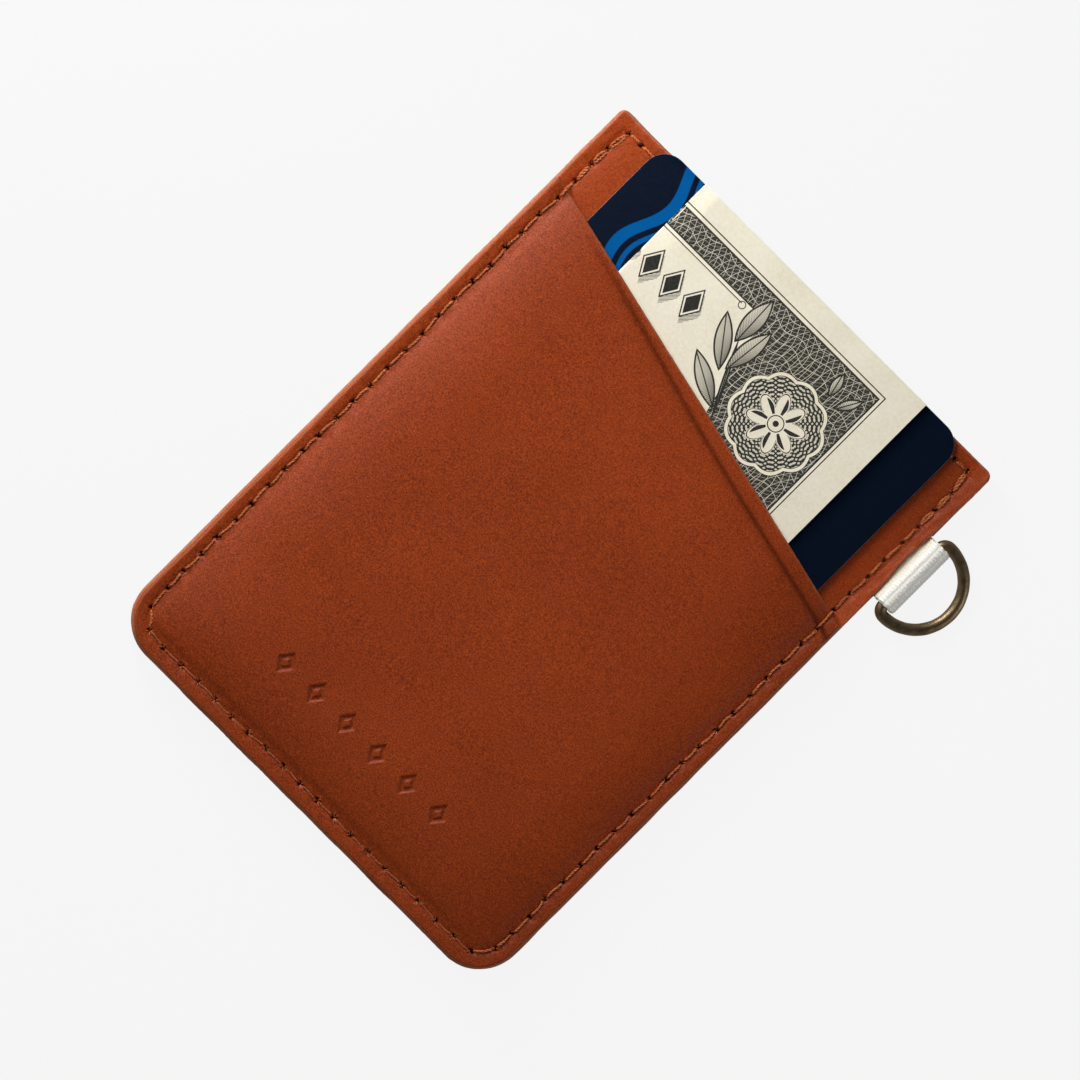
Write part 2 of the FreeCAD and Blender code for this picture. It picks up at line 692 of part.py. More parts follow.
def check(pieces):
    """Stops if any object of the document failed, or any piece is empty or not valid."""
    for item in doc.Objects:
        if "Invalid" in item.State or "Error" in item.State:
            raise RuntimeError(f"{item.Label} failed: {item.State}")
        if item.isDerivedFrom("Sketcher::SketchObject") and not item.FullyConstrained:
            raise RuntimeError(f"{item.Label} isn't fully constrained")
    for piece in pieces:
        shape = piece.Shape
        if shape.isNull() or not shape.isValid() or not shape.Solids:
            raise RuntimeError(f"{piece.Label} has no valid shape")


def write(pieces):
    os.makedirs("parts", exist_ok=True)
    for piece in pieces:
        piece.Shape.exportStep(os.path.join("parts", f"{piece.Label}.step"))
        box = piece.Shape.BoundBox
        print(
            f"{piece.Label:26s} solids {len(piece.Shape.Solids):3d} volume {piece.Shape.Volume:9.2f}"
            f"  x {box.XMin:7.2f} {box.XMax:6.2f}  y {box.YMin:7.2f} {box.YMax:6.2f}"
            f"  z {box.ZMin:5.2f} {box.ZMax:5.2f}"
        )


pieces = build()
doc.removeObject(sums.Name)
doc.recompute()
check(pieces)
write(pieces)
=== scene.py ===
"""The looks of a slim leather card wallet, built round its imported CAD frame.

The wallet lies on its back on a pale floor, seen from straight above. Shapes are worked out in
millimetres, in the frame's own axes: +X is towards the D-ring, +Y towards the pocket mouth and
+Z out of the front face.
"""

import math

import bpy
import numpy as np
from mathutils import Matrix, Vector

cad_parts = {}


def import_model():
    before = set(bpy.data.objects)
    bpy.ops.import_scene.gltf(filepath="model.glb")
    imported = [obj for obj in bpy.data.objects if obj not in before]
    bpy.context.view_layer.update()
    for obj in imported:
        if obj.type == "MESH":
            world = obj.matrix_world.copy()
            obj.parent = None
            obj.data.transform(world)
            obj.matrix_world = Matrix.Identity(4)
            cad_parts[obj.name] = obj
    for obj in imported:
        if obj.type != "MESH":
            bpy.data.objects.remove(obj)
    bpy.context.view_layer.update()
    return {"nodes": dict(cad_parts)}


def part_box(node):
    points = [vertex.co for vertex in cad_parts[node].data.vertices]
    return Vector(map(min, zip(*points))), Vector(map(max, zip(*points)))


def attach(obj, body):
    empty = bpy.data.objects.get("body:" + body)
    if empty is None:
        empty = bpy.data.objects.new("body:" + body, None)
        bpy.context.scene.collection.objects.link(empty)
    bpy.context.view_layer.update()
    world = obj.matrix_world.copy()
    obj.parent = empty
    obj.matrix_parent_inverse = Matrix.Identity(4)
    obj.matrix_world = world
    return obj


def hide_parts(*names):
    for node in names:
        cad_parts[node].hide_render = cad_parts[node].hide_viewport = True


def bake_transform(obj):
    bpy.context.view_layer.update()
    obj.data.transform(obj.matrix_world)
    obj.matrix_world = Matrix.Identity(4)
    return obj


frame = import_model()

MM = 0.001  # metres in a millimetre


def box_mm(node):
    """The lowest and highest corner of a CAD node, in millimetres."""
    low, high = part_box(node)
    return np.array(low) / MM, np.array(high) / MM


# Places and sizes that come from the frame
_, pocket_high = box_mm("front_pocket_panel")
centre_low, centre_high = box_mm("centre_panel")
card_low, card_high = box_mm("card_body")
chip_low, chip_high = box_mm("card_chip_module")
note_low, note_high = box_mm("folded_banknote")
loop_low, loop_high = box_mm("webbing_loop")
tail_low, tail_high = box_mm("webbing_tail_front")
ring_low, ring_high = box_mm("d_ring")

HALF_WIDTH = centre_high[0]
BOTTOM, TOP = centre_low[1], centre_high[1]
LEATHER = centre_high[2] - centre_low[2]
RIM_Z = centre_high[2]  # the face that the pocket panel is sewn to
RIM_TOP_Z = RIM_Z + LEATHER
POCKET_RISE = pocket_high[2] - RIM_TOP_Z
DOME_X, DOME_Y = 30.6, -43.4  # where the pocket starts to rise from its rim
CORNER = 6.25  # the two bottom corners of the leather
CORNER_X, CORNER_Y = HALF_WIDTH - CORNER, BOTTOM + CORNER
TOP_CORNER = 1.0

# The slanted mouth of the pocket: y = MOUTH_Y - MOUTH_SLOPE * x
MOUTH_SLOPE = 0.2315
MOUTH_Y = pocket_high[1] - MOUTH_SLOPE * HALF_WIDTH

# Seams
SIDE_INSET, BOTTOM_INSET, TOP_INSET = 2.2, 2.4, 1.95
SEAM_HALF = HALF_WIDTH - SIDE_INSET
SEAM_LOW = BOTTOM + BOTTOM_INSET
SEAM_CORNER = 3.9
OUTER_SEAM_TOP = 41.1
STITCH = 3.05
SHARED_HOLES = 3  # holes down each side that both seams pass through
HAND_WANDER = 0.16  # how far a hole may be from its even place
TOP_SEAM_Y = TOP - TOP_INSET
TOP_SEAM_HALF = SEAM_HALF - 0.65
TOP_SEAM_NEXT = TOP_SEAM_HALF - 2.2  # the first hole in from the corner one

# Strap and ring
BAR = np.array([34.95, (loop_low[1] + loop_high[1]) / 2, (loop_low[2] + loop_high[2]) / 2])
WIRE = 0.8  # radius of the ring's wire
RING_RADIUS = (ring_high[1] - ring_low[1]) / 2 - WIRE
RING_BEND = 1.01
RING_DROOP = math.radians(11.2)
RING_SIDES, RING_STEP = 28, 0.16  # sides of the wire, and its rings' spacing
STRAP_STEP = 0.085  # spacing of the points along the strap
FREE_STRAP = loop_high[0] - BAR[0] - WIRE - 0.05  # strap's thickness where it is free

UNDER_STEPS = 3  # steps of a leather face's grid to one step of its underside


# Numbers and shapes


def smooth(value, low, high):
    """0 below low, 1 above high, and a smooth S between them."""
    share = np.clip((value - low) / (high - low), 0, 1)
    return share * share * (3 - 2 * share)


def bump(value, width):
    """A bell of height 1 about zero."""
    return np.exp(-((value / width) ** 2))


def ripple(x, y, size, seed):
    """Smooth unevenness between about -1 and 1, with waves about size across."""
    waves = np.random.default_rng(seed)
    total = 0
    for _ in range(7):
        turn, phase = waves.uniform(0, 2 * math.pi, 2)
        step = 2 * math.pi / (size * waves.uniform(0.7, 1.6))
        total = total + np.sin(step * (x * math.cos(turn) + y * math.sin(turn)) + phase)
    return total / 3.5


def places(start, stop, spacing, multiple=UNDER_STEPS):
    """Numbers from start to stop, spacing(number) apart, in a multiple of so many steps."""
    fine = np.linspace(start, stop, 4001)
    middle = (fine[1:] + fine[:-1]) / 2
    steps = np.concatenate([[0], np.cumsum(np.diff(fine) / spacing(middle))])
    count = max(1, math.ceil(steps[-1] / multiple)) * multiple
    return np.interp(np.linspace(0, steps[-1], count + 1), steps, fine)


def inside(x, y, half, low, radius):
    """Distance inside an outline with two round bottom corners that runs on upwards."""
    across, down = np.abs(x) - (half - radius), low + radius - y
    outer = np.hypot(np.maximum(across, 0), np.maximum(down, 0))
    return radius - outer - np.minimum(np.maximum(across, down), 0)


def inside_leather(x, y):
    return inside(x, y, HALF_WIDTH, BOTTOM, CORNER)


def inside_seam(x, y):
    return inside(x, y, SEAM_HALF, SEAM_LOW, SEAM_CORNER)


def below_mouth(x, y):
    """Distance below the slanted mouth, square to it."""
    return (MOUTH_Y - MOUTH_SLOPE * x - y) / math.hypot(1, MOUTH_SLOPE)


def travelled(line):
    """How far along a line each of its points is."""
    return np.concatenate([[0], np.cumsum(np.linalg.norm(np.diff(line, axis=0), axis=1))])


def along_path(points, pitch):
    """Points evenly spaced along a path, about pitch apart."""
    points = np.array(points, float)
    steps = travelled(points)
    even = np.linspace(0, steps[-1], round(steps[-1] / pitch) + 1)
    return np.stack([np.interp(even, steps, column) for column in points.T], axis=1)


def rightward(line, closed=False):
    """Unit directions to the right of a flat line, one at each of its points."""
    if closed:
        ahead = np.roll(line, -1, axis=0) - np.roll(line, 1, axis=0)
    else:
        ahead = np.gradient(line, axis=0)
    ahead /= np.linalg.norm(ahead, axis=1)[:, None]
    return np.column_stack([ahead[:, 1], -ahead[:, 0]])


def outer_seam_holes():
    """Down the left side, round both bottom corners and up the right side."""
    turn = np.linspace(0, math.pi / 2, 60)
    low, inner = SEAM_LOW + SEAM_CORNER, SEAM_HALF - SEAM_CORNER
    left = [(-inner - SEAM_CORNER * math.cos(a), low - SEAM_CORNER * math.sin(a)) for a in turn]
    right = [(-x, y) for x, y in reversed(left)]
    ends = (-SEAM_HALF, OUTER_SEAM_TOP), (SEAM_HALF, OUTER_SEAM_TOP)
    run = along_path([ends[0], *left, *right, ends[1]], STITCH)
    run = run + np.random.default_rng(9).uniform(-HAND_WANDER, HAND_WANDER, run.shape)
    corner = np.array([[-TOP_SEAM_HALF, TOP_SEAM_Y]])
    return np.concatenate([corner, run, corner * [-1, 1]])


def top_seam_holes(outer):
    """Up through the outer seam's last holes, along the top edge, and down the other side."""
    left = outer[1:1 + SHARED_HOLES][::-1]
    right = outer[-1 - SHARED_HOLES:-1][::-1]
    across = along_path([(-TOP_SEAM_NEXT, TOP_SEAM_Y), (TOP_SEAM_NEXT, TOP_SEAM_Y)], STITCH)
    return np.concatenate([left, outer[:1], across, outer[-1:], right])


# Meshes


def new_object(name, data):
    made = bpy.data.objects.new(name, data)
    bpy.context.scene.collection.objects.link(made)
    return made


def new_piece(name, points, faces, material, body=None, nodes=(), weights=None):
    """A smooth-shaded mesh from points in millimetres, which rides on a body of the frame."""
    mesh = bpy.data.meshes.new(name)
    mesh.from_pydata((np.asarray(points) * MM).tolist(), [], faces)
    mesh.validate()
    mesh.polygons.foreach_set("use_smooth", [True] * len(mesh.polygons))
    mesh.set_sharp_from_angle(angle=math.radians(50))
    for label, values in (weights or {}).items():
        attribute = mesh.attributes.new(label, "FLOAT", "POINT")
        attribute.data.foreach_set("value", np.asarray(values, np.float32))
    piece = new_object(name, mesh)
    mesh.materials.append(material)
    if body:
        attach(piece, body)
    if nodes:
        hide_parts(*nodes)
    return piece


def grid_faces(rows, columns, first=0, closed_rows=False, closed_columns=False):
    """Quads of a grid whose points are numbered along its rows."""
    faces = []
    for i in range(rows if closed_rows else rows - 1):
        here, there = first + i * columns, first + (i + 1) % rows * columns
        for j in range(columns if closed_columns else columns - 1):
            after = (j + 1) % columns
            faces.append((here + j, here + after, there + after, there + j))
    return faces


def turned(faces):
    """The same faces, looking the other way."""
    return [face[::-1] for face in faces]


def stacked(rings):
    """Points and faces of a closed solid, whose skin runs over rings of points."""
    rows, columns = len(rings), len(rings[0])
    last = (rows - 1) * columns
    faces = grid_faces(rows, columns, closed_columns=True)
    faces += [tuple(range(columns))[::-1], tuple(range(last, last + columns))]
    return np.concatenate(rings), faces


def two_sided(line, across, offsets, lift=0):
    """A closed sheet about a middle line of x and z: its left layer, its right one and its edge.

    across holds the points' y. offsets are the two layers' distances to the left of the line.
    """
    left = -rightward(line)
    layers = []
    for offset in offsets:
        x = line[:, :1] + left[:, :1] * offset
        z = line[:, 1:] + left[:, 1:] * offset + lift
        layers.append(np.stack(np.broadcast_arrays(x, across, z), axis=2).reshape(-1, 3))
    size = across.size
    numbers = np.arange(size).reshape(across.shape)
    edge = [*numbers[0], *numbers[1:, -1], *numbers[-1, -2::-1], *numbers[-2:0:-1, 0]]
    faces = turned(grid_faces(*across.shape)) + grid_faces(*across.shape, first=size)
    faces += [(a, b, size + b, size + a) for a, b in zip(edge, edge[1:] + edge[:1])]
    return np.concatenate(layers), faces


def tube(path, radius, sides):
    """Points and faces of a round tube along a path, closed at both ends."""
    heading = np.gradient(path, axis=0)
    heading /= np.linalg.norm(heading, axis=1)[:, None]
    turns = 2 * math.pi * np.arange(sides)[:, None] / sides
    up = np.cross(heading[0], [0.31, 0.17, 0.94])  # any direction off the path
    rings = []
    for place, ahead, size in zip(path, heading, radius):
        up = up - ahead * (up @ ahead)
        up /= np.linalg.norm(up)
        rings.append(place + size * (np.cos(turns) * up + np.sin(turns) * np.cross(ahead, up)))
    return stacked(rings)


def joined(parts):
    """One list of points and one of faces from several."""
    points, faces = [], []
    for more_points, more_faces in parts:
        first = len(points)
        points.extend(more_points)
        faces.extend(tuple(first + k for k in face) for face in more_faces)
    return points, faces


# Materials


def srgb(*levels):
    """A colour picked as 0 to 255 levels on a screen, as the shader needs it."""
    shares = [level / 255 for level in levels]
    return tuple(s / 12.92 if s <= 0.04045 else ((s + 0.055) / 1.055) ** 2.4 for s in shares) + (1.0,)


def operation(kind):
    """A method that sends a wire, and its other values, through one kind of arithmetic."""
    return lambda self, *others: self.paint.node("Math", [self, *others], operation=kind)


class Wire:
    """A value on its way through a material's nodes, with ordinary arithmetic."""

    def __init__(self, paint, socket):
        self.paint, self.socket = paint, socket

    __add__, __sub__ = operation("ADD"), operation("SUBTRACT")
    __mul__, __truediv__ = operation("MULTIPLY"), operation("DIVIDE")
    __abs__, fraction = operation("ABSOLUTE"), operation("FRACT")
    minimum, maximum = operation("MINIMUM"), operation("MAXIMUM")
    below, above = operation("LESS_THAN"), operation("GREATER_THAN")
    sine, power, angle_over = operation("SINE"), operation("POWER"), operation("ARCTAN2")

    def within(self, width):
        """1 where the value is inside a line of that width about zero."""
        return abs(self).below(width / 2)

    def inverse(self):
        """1 minus the value."""
        return self * -1.0 + 1.0

    def repeat(self, pitch):
        """The value's distance from the middle of its cell, in cells of that pitch."""
        return (self / pitch).fraction() * pitch - pitch / 2

    def scaled(self, low, high, first=0.0, last=1.0):
        """low to high turned into first to last, evenly and no further."""
        return self.paint.node("MapRange", [self, low, high, first, last])

    def tinted(self, low, high, dark, light):
        """low to high turned into dark to light."""
        return self.paint.mix(self.scaled(low, high), dark, light)

    def over(self, below, share):
        """The value where share is 1, and below where it is 0."""
        return self.paint.node("Mix", {0: share, 2: below, 3: self}, data_type="FLOAT")


class Nodes:
    """A tree of shader nodes."""

    def __init__(self, owner):
        owner.use_nodes = True
        self.tree = owner.node_tree

    def fill(self, socket, value):
        if isinstance(value, Wire):
            self.tree.links.new(value.socket, socket)
        else:
            socket.default_value = value

    def node(self, kind, values, output=0, **settings):
        """A node with its settings and input values, and the wire from one of its outputs."""
        made = self.tree.nodes.new("ShaderNode" + kind)
        for setting, value in settings.items():
            setattr(made, setting, value)
        for key, value in values.items() if isinstance(values, dict) else enumerate(values):
            self.fill(made.inputs[key], value)
        return Wire(self, made.outputs[output])

    def to_camera(self):
        """1 for what the camera sees itself, and 0 for what lights or mirrors it."""
        return self.node("LightPath", [], output="Is Camera Ray")


class Paint(Nodes):
    """One procedural material, and the nodes that it is made of."""

    def __init__(self, name):
        self.material = bpy.data.materials.new(name)
        super().__init__(self.material)
        place = self.node("TexCoord", [], output="Object")
        self.place = self.node("VectorMath", {0: place, "Scale": 1 / MM}, operation="SCALE")

    def xyz(self):
        """The place's three coordinates, in millimetres."""
        return [self.node("SeparateXYZ", [self.place], output=k) for k in range(3)]

    def noise(self, scale, detail, roughness, stretch=None):
        """Cloudy noise with about scale lumps to a millimetre, whose axes may be scaled further."""
        place = self.place
        if stretch:
            place = self.node("VectorMath", [place, stretch], operation="MULTIPLY")
        values = {"Vector": place, "Scale": scale, "Detail": detail, "Roughness": roughness}
        return self.node("TexNoise", values)

    def cells(self, scale):
        return self.node("TexVoronoi", {"Vector": self.place, "Scale": scale}, feature="F1")

    def attribute(self, label):
        return self.node("Attribute", [], output="Fac", attribute_name=label)

    def mix(self, share, first, second):
        """first where share is 0 and second where it is 1."""
        return self.node("Mix", {0: share, 6: first, 7: second}, output=2, data_type="RGBA")

    def upright(self):
        """1 on a piece's upright sides and 0 on its level faces."""
        facing = self.node("TexCoord", [], output="Normal")
        return abs(self.node("SeparateXYZ", [facing], output=2)).scaled(0.35, 0.65, 1.0, 0.0)

    def relief(self, height, depth, strength, under=None):
        """The surface's direction over a height field, depth in millimetres."""
        values = {"Strength": strength, "Distance": depth * MM, "Height": height}
        if under:
            values["Normal"] = under
        return self.node("Bump", values)

    def finish(self, **inputs):
        """Sets the shader's inputs, whose names are written with _ for each space."""
        shader = self.tree.nodes["Principled BSDF"]
        for label, value in inputs.items():
            self.fill(shader.inputs[label.replace("_", " ")], value)
        return self.material


def leather_paint(name, dark, light, roughness, plain=False):
    """Oiled full-grain leather: cloudy, finely mottled, with painted shade where its pit weight lies and
    raw at its edges, whose pale colour is partly a painted highlight.

    A plain slab's upright sides are its raw edges. A finer panel marks its own.
    """
    paint = Paint(name)
    clouds = paint.noise(0.06, 2.0, 0.5)
    mottle = paint.noise(1.3, 4.0, 0.7)
    specks = paint.noise(5.0, 2.0, 0.7)
    tone = clouds * 0.14 + mottle * 0.16 + specks
    colour = tone.tinted(0.43, 0.87, dark, light)
    fibres = paint.noise(1.0, 4.0, 0.7, stretch=(3.0, 3.0, 9.0))
    edge = paint.upright() if plain else paint.attribute("edge")
    # raw edge: the cut edge's own paler colour, made paler still as a painted highlight of the lit edge
    raw = fibres.tinted(0.3, 0.7, srgb(134, 87, 63), srgb(216, 140, 102))
    colour = paint.mix(edge, colour, raw)
    # painted shade: the pit weight darkens needle holes, the crease below the mouth and shaded patches
    colour = paint.mix(paint.attribute("pit"), colour, srgb(26, 10, 5))
    grain = paint.relief(paint.cells(3.2) * 0.5 + mottle * 0.5 + specks * 0.85, 0.06, 0.7)
    grain = paint.relief(fibres * edge, 0.12, 0.8, under=grain)
    shine = mottle.scaled(0.25, 0.75, roughness + 0.07, roughness - 0.07) + edge * 0.12
    return paint.finish(Base_Color=colour, Roughness=shine, Specular_IOR_Level=0.15, Normal=grain)


def thread_paint():
    """Waxed tan thread, a little fuzzy, and stained by the leather where it lies sunk in it."""
    paint = Paint("thread_waxed_tan")
    fibres = paint.noise(7.0, 3.0, 0.6)
    clean = fibres.tinted(0.3, 0.7, srgb(144, 66, 28), srgb(222, 130, 70))
    stained = fibres.tinted(0.3, 0.7, srgb(104, 40, 18), srgb(160, 84, 48))
    colour = paint.mix(paint.attribute("sunk"), clean, stained)
    return paint.finish(
        Base_Color=colour, Roughness=0.6, Specular_IOR_Level=0.22, Sheen_Weight=0.1,
        Normal=paint.relief(fibres, 0.05, 0.6),
    )


def webbing_paint():
    """Off-white grosgrain, with painted shade in the weave's hollows and a painted shadow where it leaves
    the leather.
    """
    paint = Paint("webbing_grosgrain")
    x, y, _ = paint.xyz()
    yarn = paint.noise(3.0, 3.0, 0.6, stretch=(1.0, 0.35, 1.0))
    filament = (y * 38.0 + x * 9.0).sine() * 0.5 + 0.5
    colour = yarn.tinted(0.3, 0.75, srgb(242, 238, 228), srgb(254, 252, 246))
    # painted shadow: darker next to the leather's edge, where the leather shades the strap
    stain = x.scaled(33.2, 34.2, 0.75, 0.0)
    colour = paint.mix(stain, colour, srgb(176, 154, 118))
    # painted shade in the hollows of the weave
    colour = paint.mix(paint.attribute("pit") * 0.42, colour, srgb(176, 170, 152))
    return paint.finish(
        Base_Color=colour, Roughness=0.42, Specular_IOR_Level=0.5, Sheen_Weight=0.25,
        Normal=paint.relief(filament * 0.5 + yarn, 0.03, 0.5),
    )


def brass_paint():
    """Antique brass wire: dark brown patina, with a painted highlight along the wire's outer and inner
    sides.
    """
    paint = Paint("ring_antique_brass")
    patina = paint.noise(0.9, 4.0, 0.65)
    scratches = paint.noise(2.2, 3.0, 0.6, stretch=(1.0, 0.25, 1.0))
    # patina noise plus a painted highlight along the wire's outer and inner sides
    patina_and_highlight = patina.scaled(0.32, 0.74) * 0.4 + paint.attribute("flank_highlight") * 0.5 + 0.05
    colour = paint.mix(patina_and_highlight, srgb(72, 60, 45), srgb(172, 148, 114))
    return paint.finish(
        Base_Color=colour, Metallic=1.0, Roughness=patina.scaled(0.3, 0.7, 0.5, 0.38),
        Normal=paint.relief(scratches * 0.6 + patina * 0.6, 0.04, 0.35),
    )


def card_paint():
    """Navy plastic card with a sweep of blue bands, and a pale core along its cut edge."""
    paint = Paint("card_navy_plastic")
    x, y, _ = paint.xyz()
    sweep = x + 21.6 + ((y - 30.0) * 0.42).sine() * 1.1
    band = sweep.scaled(0.0, 0.12) * (sweep - 1.55).scaled(0.12, 0.0)
    second = (sweep - 2.35).scaled(0.0, 0.12) * (sweep - 3.0).scaled(0.12, 0.0)
    dust = paint.noise(2.8, 5.0, 0.7)
    colour = dust.tinted(0.3, 0.8, srgb(7, 15, 30), srgb(12, 23, 41))
    colour = paint.mix(band.maximum(second), colour, srgb(0, 80, 142))
    colour = paint.mix(paint.attribute("edge"), colour, srgb(112, 118, 128))
    return paint.finish(
        Base_Color=colour, Roughness=dust.scaled(0.3, 0.7, 0.34, 0.46), Specular_IOR_Level=0.03,
        Normal=paint.relief(dust, 0.01, 0.3),
    )


def chip_paint():
    """Gold-plated contacts with a brushed sheen."""
    paint = Paint("chip_gold_plate")
    brushed = paint.noise(3.0, 4.0, 0.6, stretch=(0.6, 6.0, 1.0))
    colour = brushed.tinted(0.3, 0.7, srgb(196, 160, 92), srgb(226, 196, 130))
    grain = paint.relief(brushed, 0.01, 0.4)
    return paint.finish(Base_Color=colour, Metallic=1.0, Roughness=0.3, Normal=grain)


def stripe_paint():
    """Black-brown magnetic film with faint streaks along it."""
    paint = Paint("magnetic_film")
    streaks = paint.noise(2.0, 3.0, 0.6, stretch=(3.0, 0.2, 1.0))
    colour = paint.mix(streaks, srgb(20, 17, 15), srgb(38, 32, 28))
    return paint.finish(Base_Color=colour, Roughness=streaks.scaled(0.3, 0.7, 0.25, 0.4))


def leaf(x, y, base, tip, width):
    """(inside, ink) of a pointed leaf: outlined, veined, and hatched down one half."""
    run = np.subtract(tip, base)
    length = math.hypot(*run)
    ahead_x, ahead_y = (run / length).tolist()
    middle_x, middle_y = (np.add(tip, base) / 2).tolist()
    along = ((x - middle_x) * ahead_x + (y - middle_y) * ahead_y) / (length / 2)
    across = (x - middle_x) * ahead_y - (y - middle_y) * ahead_x
    reach = (along * along).inverse() * (width / 2)
    within = (reach - abs(across)).above(0.0)
    outline = (reach - abs(across)).below(0.24) * within
    vein = (across + along * 0.12).within(0.16) * within
    hatch = (along * length * 0.5 + abs(across) * -0.9).repeat(0.28).within(0.15) * within
    shade = (across / width + 0.5).scaled(0.2, 0.95, 0.12, 0.78)
    root = along.scaled(-1.0, 0.3, 1.0, 0.0)
    hatched = (hatch * (root * 0.5 + 0.5)).maximum(shade * (root + 0.6)) * within
    return within, outline.maximum(vein).maximum(hatched)


def dark_field(x, y, border):
    """The engraved ground: a band along the top, and everything right of the sprig."""
    right_of = x + 1.8 + (y - 39.7) * 0.25
    field = border.below(-0.12) * (y - 39.75).above(0.0).maximum(right_of.above(0.0)) * y.above(21.0)
    uprights = (x + (y * 1.7).sine() * 0.12).repeat(0.3).within(0.2)
    net = (x * 0.97 + y * 0.24 + (y * 0.9).sine() * 0.3).repeat(0.86).within(0.06)
    other_net = (x * 0.93 - y * 0.36 + (y * 0.8).sine() * 0.35).repeat(0.94).within(0.06)
    waves = (y + (x * 1.25).sine() * 0.35).repeat(1.6).within(0.07)
    fine_net = (x * 0.5 - y * 1.1 + (x * 2.1).sine() * 0.2).repeat(0.62).within(0.05)
    light_lines = net.maximum(other_net).maximum(waves).maximum(fine_net * 0.7)
    texture = (uprights * 0.05 + 0.95) * (light_lines * 0.76).inverse()
    return field * texture


def with_lozenges(ink, x, y):
    """Ink with an ornamental row of lozenges over it, which have hatched shadows."""
    row = x.below(-7.4) * x.above(-20.0)
    across, up = (x + 0.45).repeat(3.6), y - 34.6
    size = abs(across) / 1.5 + abs(up) / 2.5
    shadow_size = abs(across - 0.5) / 1.5 + abs(up + 0.62) / 2.5
    shadow = shadow_size.below(1.0) * (x - y).repeat(0.24).within(0.11)
    lozenge = (size - 0.7).below(0.0).maximum((size - 0.93).within(0.14))
    return ink.maximum(row * shadow * size.above(0.98)).maximum(row * lozenge)


def with_rosette(ink, x, y):
    """Ink with a flower over it, in lace and a scalloped ring."""
    dx, dy = x - 8.9, y - 31.3
    radius = (dx.power(2.0) + dy.power(2.0)).power(0.5)
    angle = dy.angle_over(dx)
    rim = radius - abs((angle * 5.0).sine()) * 0.55
    ring = (rim - 5.85).within(0.62)
    inner = rim.below(5.54)
    petals = radius - abs((angle * 4.0).sine()) * 1.9
    flower = petals.below(2.3)
    lace = (radius + (angle * 12.0).sine() * 0.34).repeat(0.58).within(0.26)
    lace = lace.maximum((radius - (angle * 12.0).sine() * 0.34).repeat(0.58).within(0.24)) * 0.75 + 0.25
    lines = (petals - 2.1).within(0.16).maximum((radius - 1.05).within(0.14)).maximum(radius.below(0.4))
    lines = lines.maximum((angle * 8.0).sine().above(0.55) * radius.above(1.3) * petals.below(1.7))
    medal = ring * (rim - 5.85).within(0.44).inverse()
    medal = medal.maximum(inner * flower.inverse() * lace).maximum(flower * lines)
    return medal.over(ink, rim.below(6.16))


# The sprig beside the rosette, each part over the one before: (base, tip, width)
SPRIG = [
    ((2.8, 25.6), (-2.1, 35.8), 0.7),
    ((-2.2, 34.9), (-2.3, 42.2), 2.7),
    ((-0.6, 31.6), (0.5, 39.2), 2.5),
    ((-1.0, 30.9), (-5.6, 37.2), 2.4),
    ((1.9, 26.9), (-5.0, 31.0), 2.4),
    ((11.2, 38.4), (10.6, 42.0), 1.6),
    ((12.7, 37.8), (14.9, 41.2), 1.5),
]


def engraving(paint):
    """How much ink lies at each place of the banknote."""
    x, y, _ = paint.xyz()
    frame_line = (y - 43.4).maximum(x - 16.5).within(0.16)
    border = (y - 42.75).maximum(x - 15.95)
    ink = frame_line.maximum(border.within(0.24))
    ink = ink.maximum(dark_field(x, y, border))
    edge_line = (y - 39.66).within(0.2) * x.below(-2.4)
    lower_line = (y - 39.1).within(0.14) * x.below(-5.0)
    curl = ((x + 4.8).power(2.0) + (y - 38.95).power(2.0)).power(0.5) - 0.48
    ink = ink.maximum(edge_line).maximum(lower_line).maximum(curl.within(0.13))
    # a lighter panel of waves on the half that stays in the pocket
    panel = border.below(-0.6) * y.below(20.4) * y.above(note_low[1] + 3.2)
    ink = ink.maximum(panel * (y + (x * 0.9).sine() * 0.5).repeat(0.7).within(0.16) * 0.6)
    ink = with_rosette(with_lozenges(ink, x, y), x, y)
    for base, tip, width in SPRIG:
        within, drawn = leaf(x, y, base, tip, width)
        ink = drawn.over(ink, within)
    return ink


def banknote_paint():
    """Rag paper with a generic engraved pattern in dark ink."""
    paint = Paint("banknote_rag_paper")
    fibres = paint.noise(2.4, 5.0, 0.7)
    handling = paint.noise(0.16, 3.0, 0.6)
    paper = fibres.tinted(0.3, 0.75, srgb(221, 212, 188), srgb(236, 229, 209))
    paper = paint.mix(handling.scaled(0.35, 0.7) * 0.35, paper, srgb(238, 234, 220))
    ink = engraving(paint) * paint.attribute("face")
    worn = ink * fibres.scaled(0.2, 0.8, 1.0, 0.95)
    colour = paint.mix(worn, paper, srgb(13, 13, 13))
    return paint.finish(
        Base_Color=colour, Roughness=0.78, Specular_IOR_Level=0.2,
        Normal=paint.relief(fibres + ink * 0.25, 0.03, 0.5),
    )


# Leather


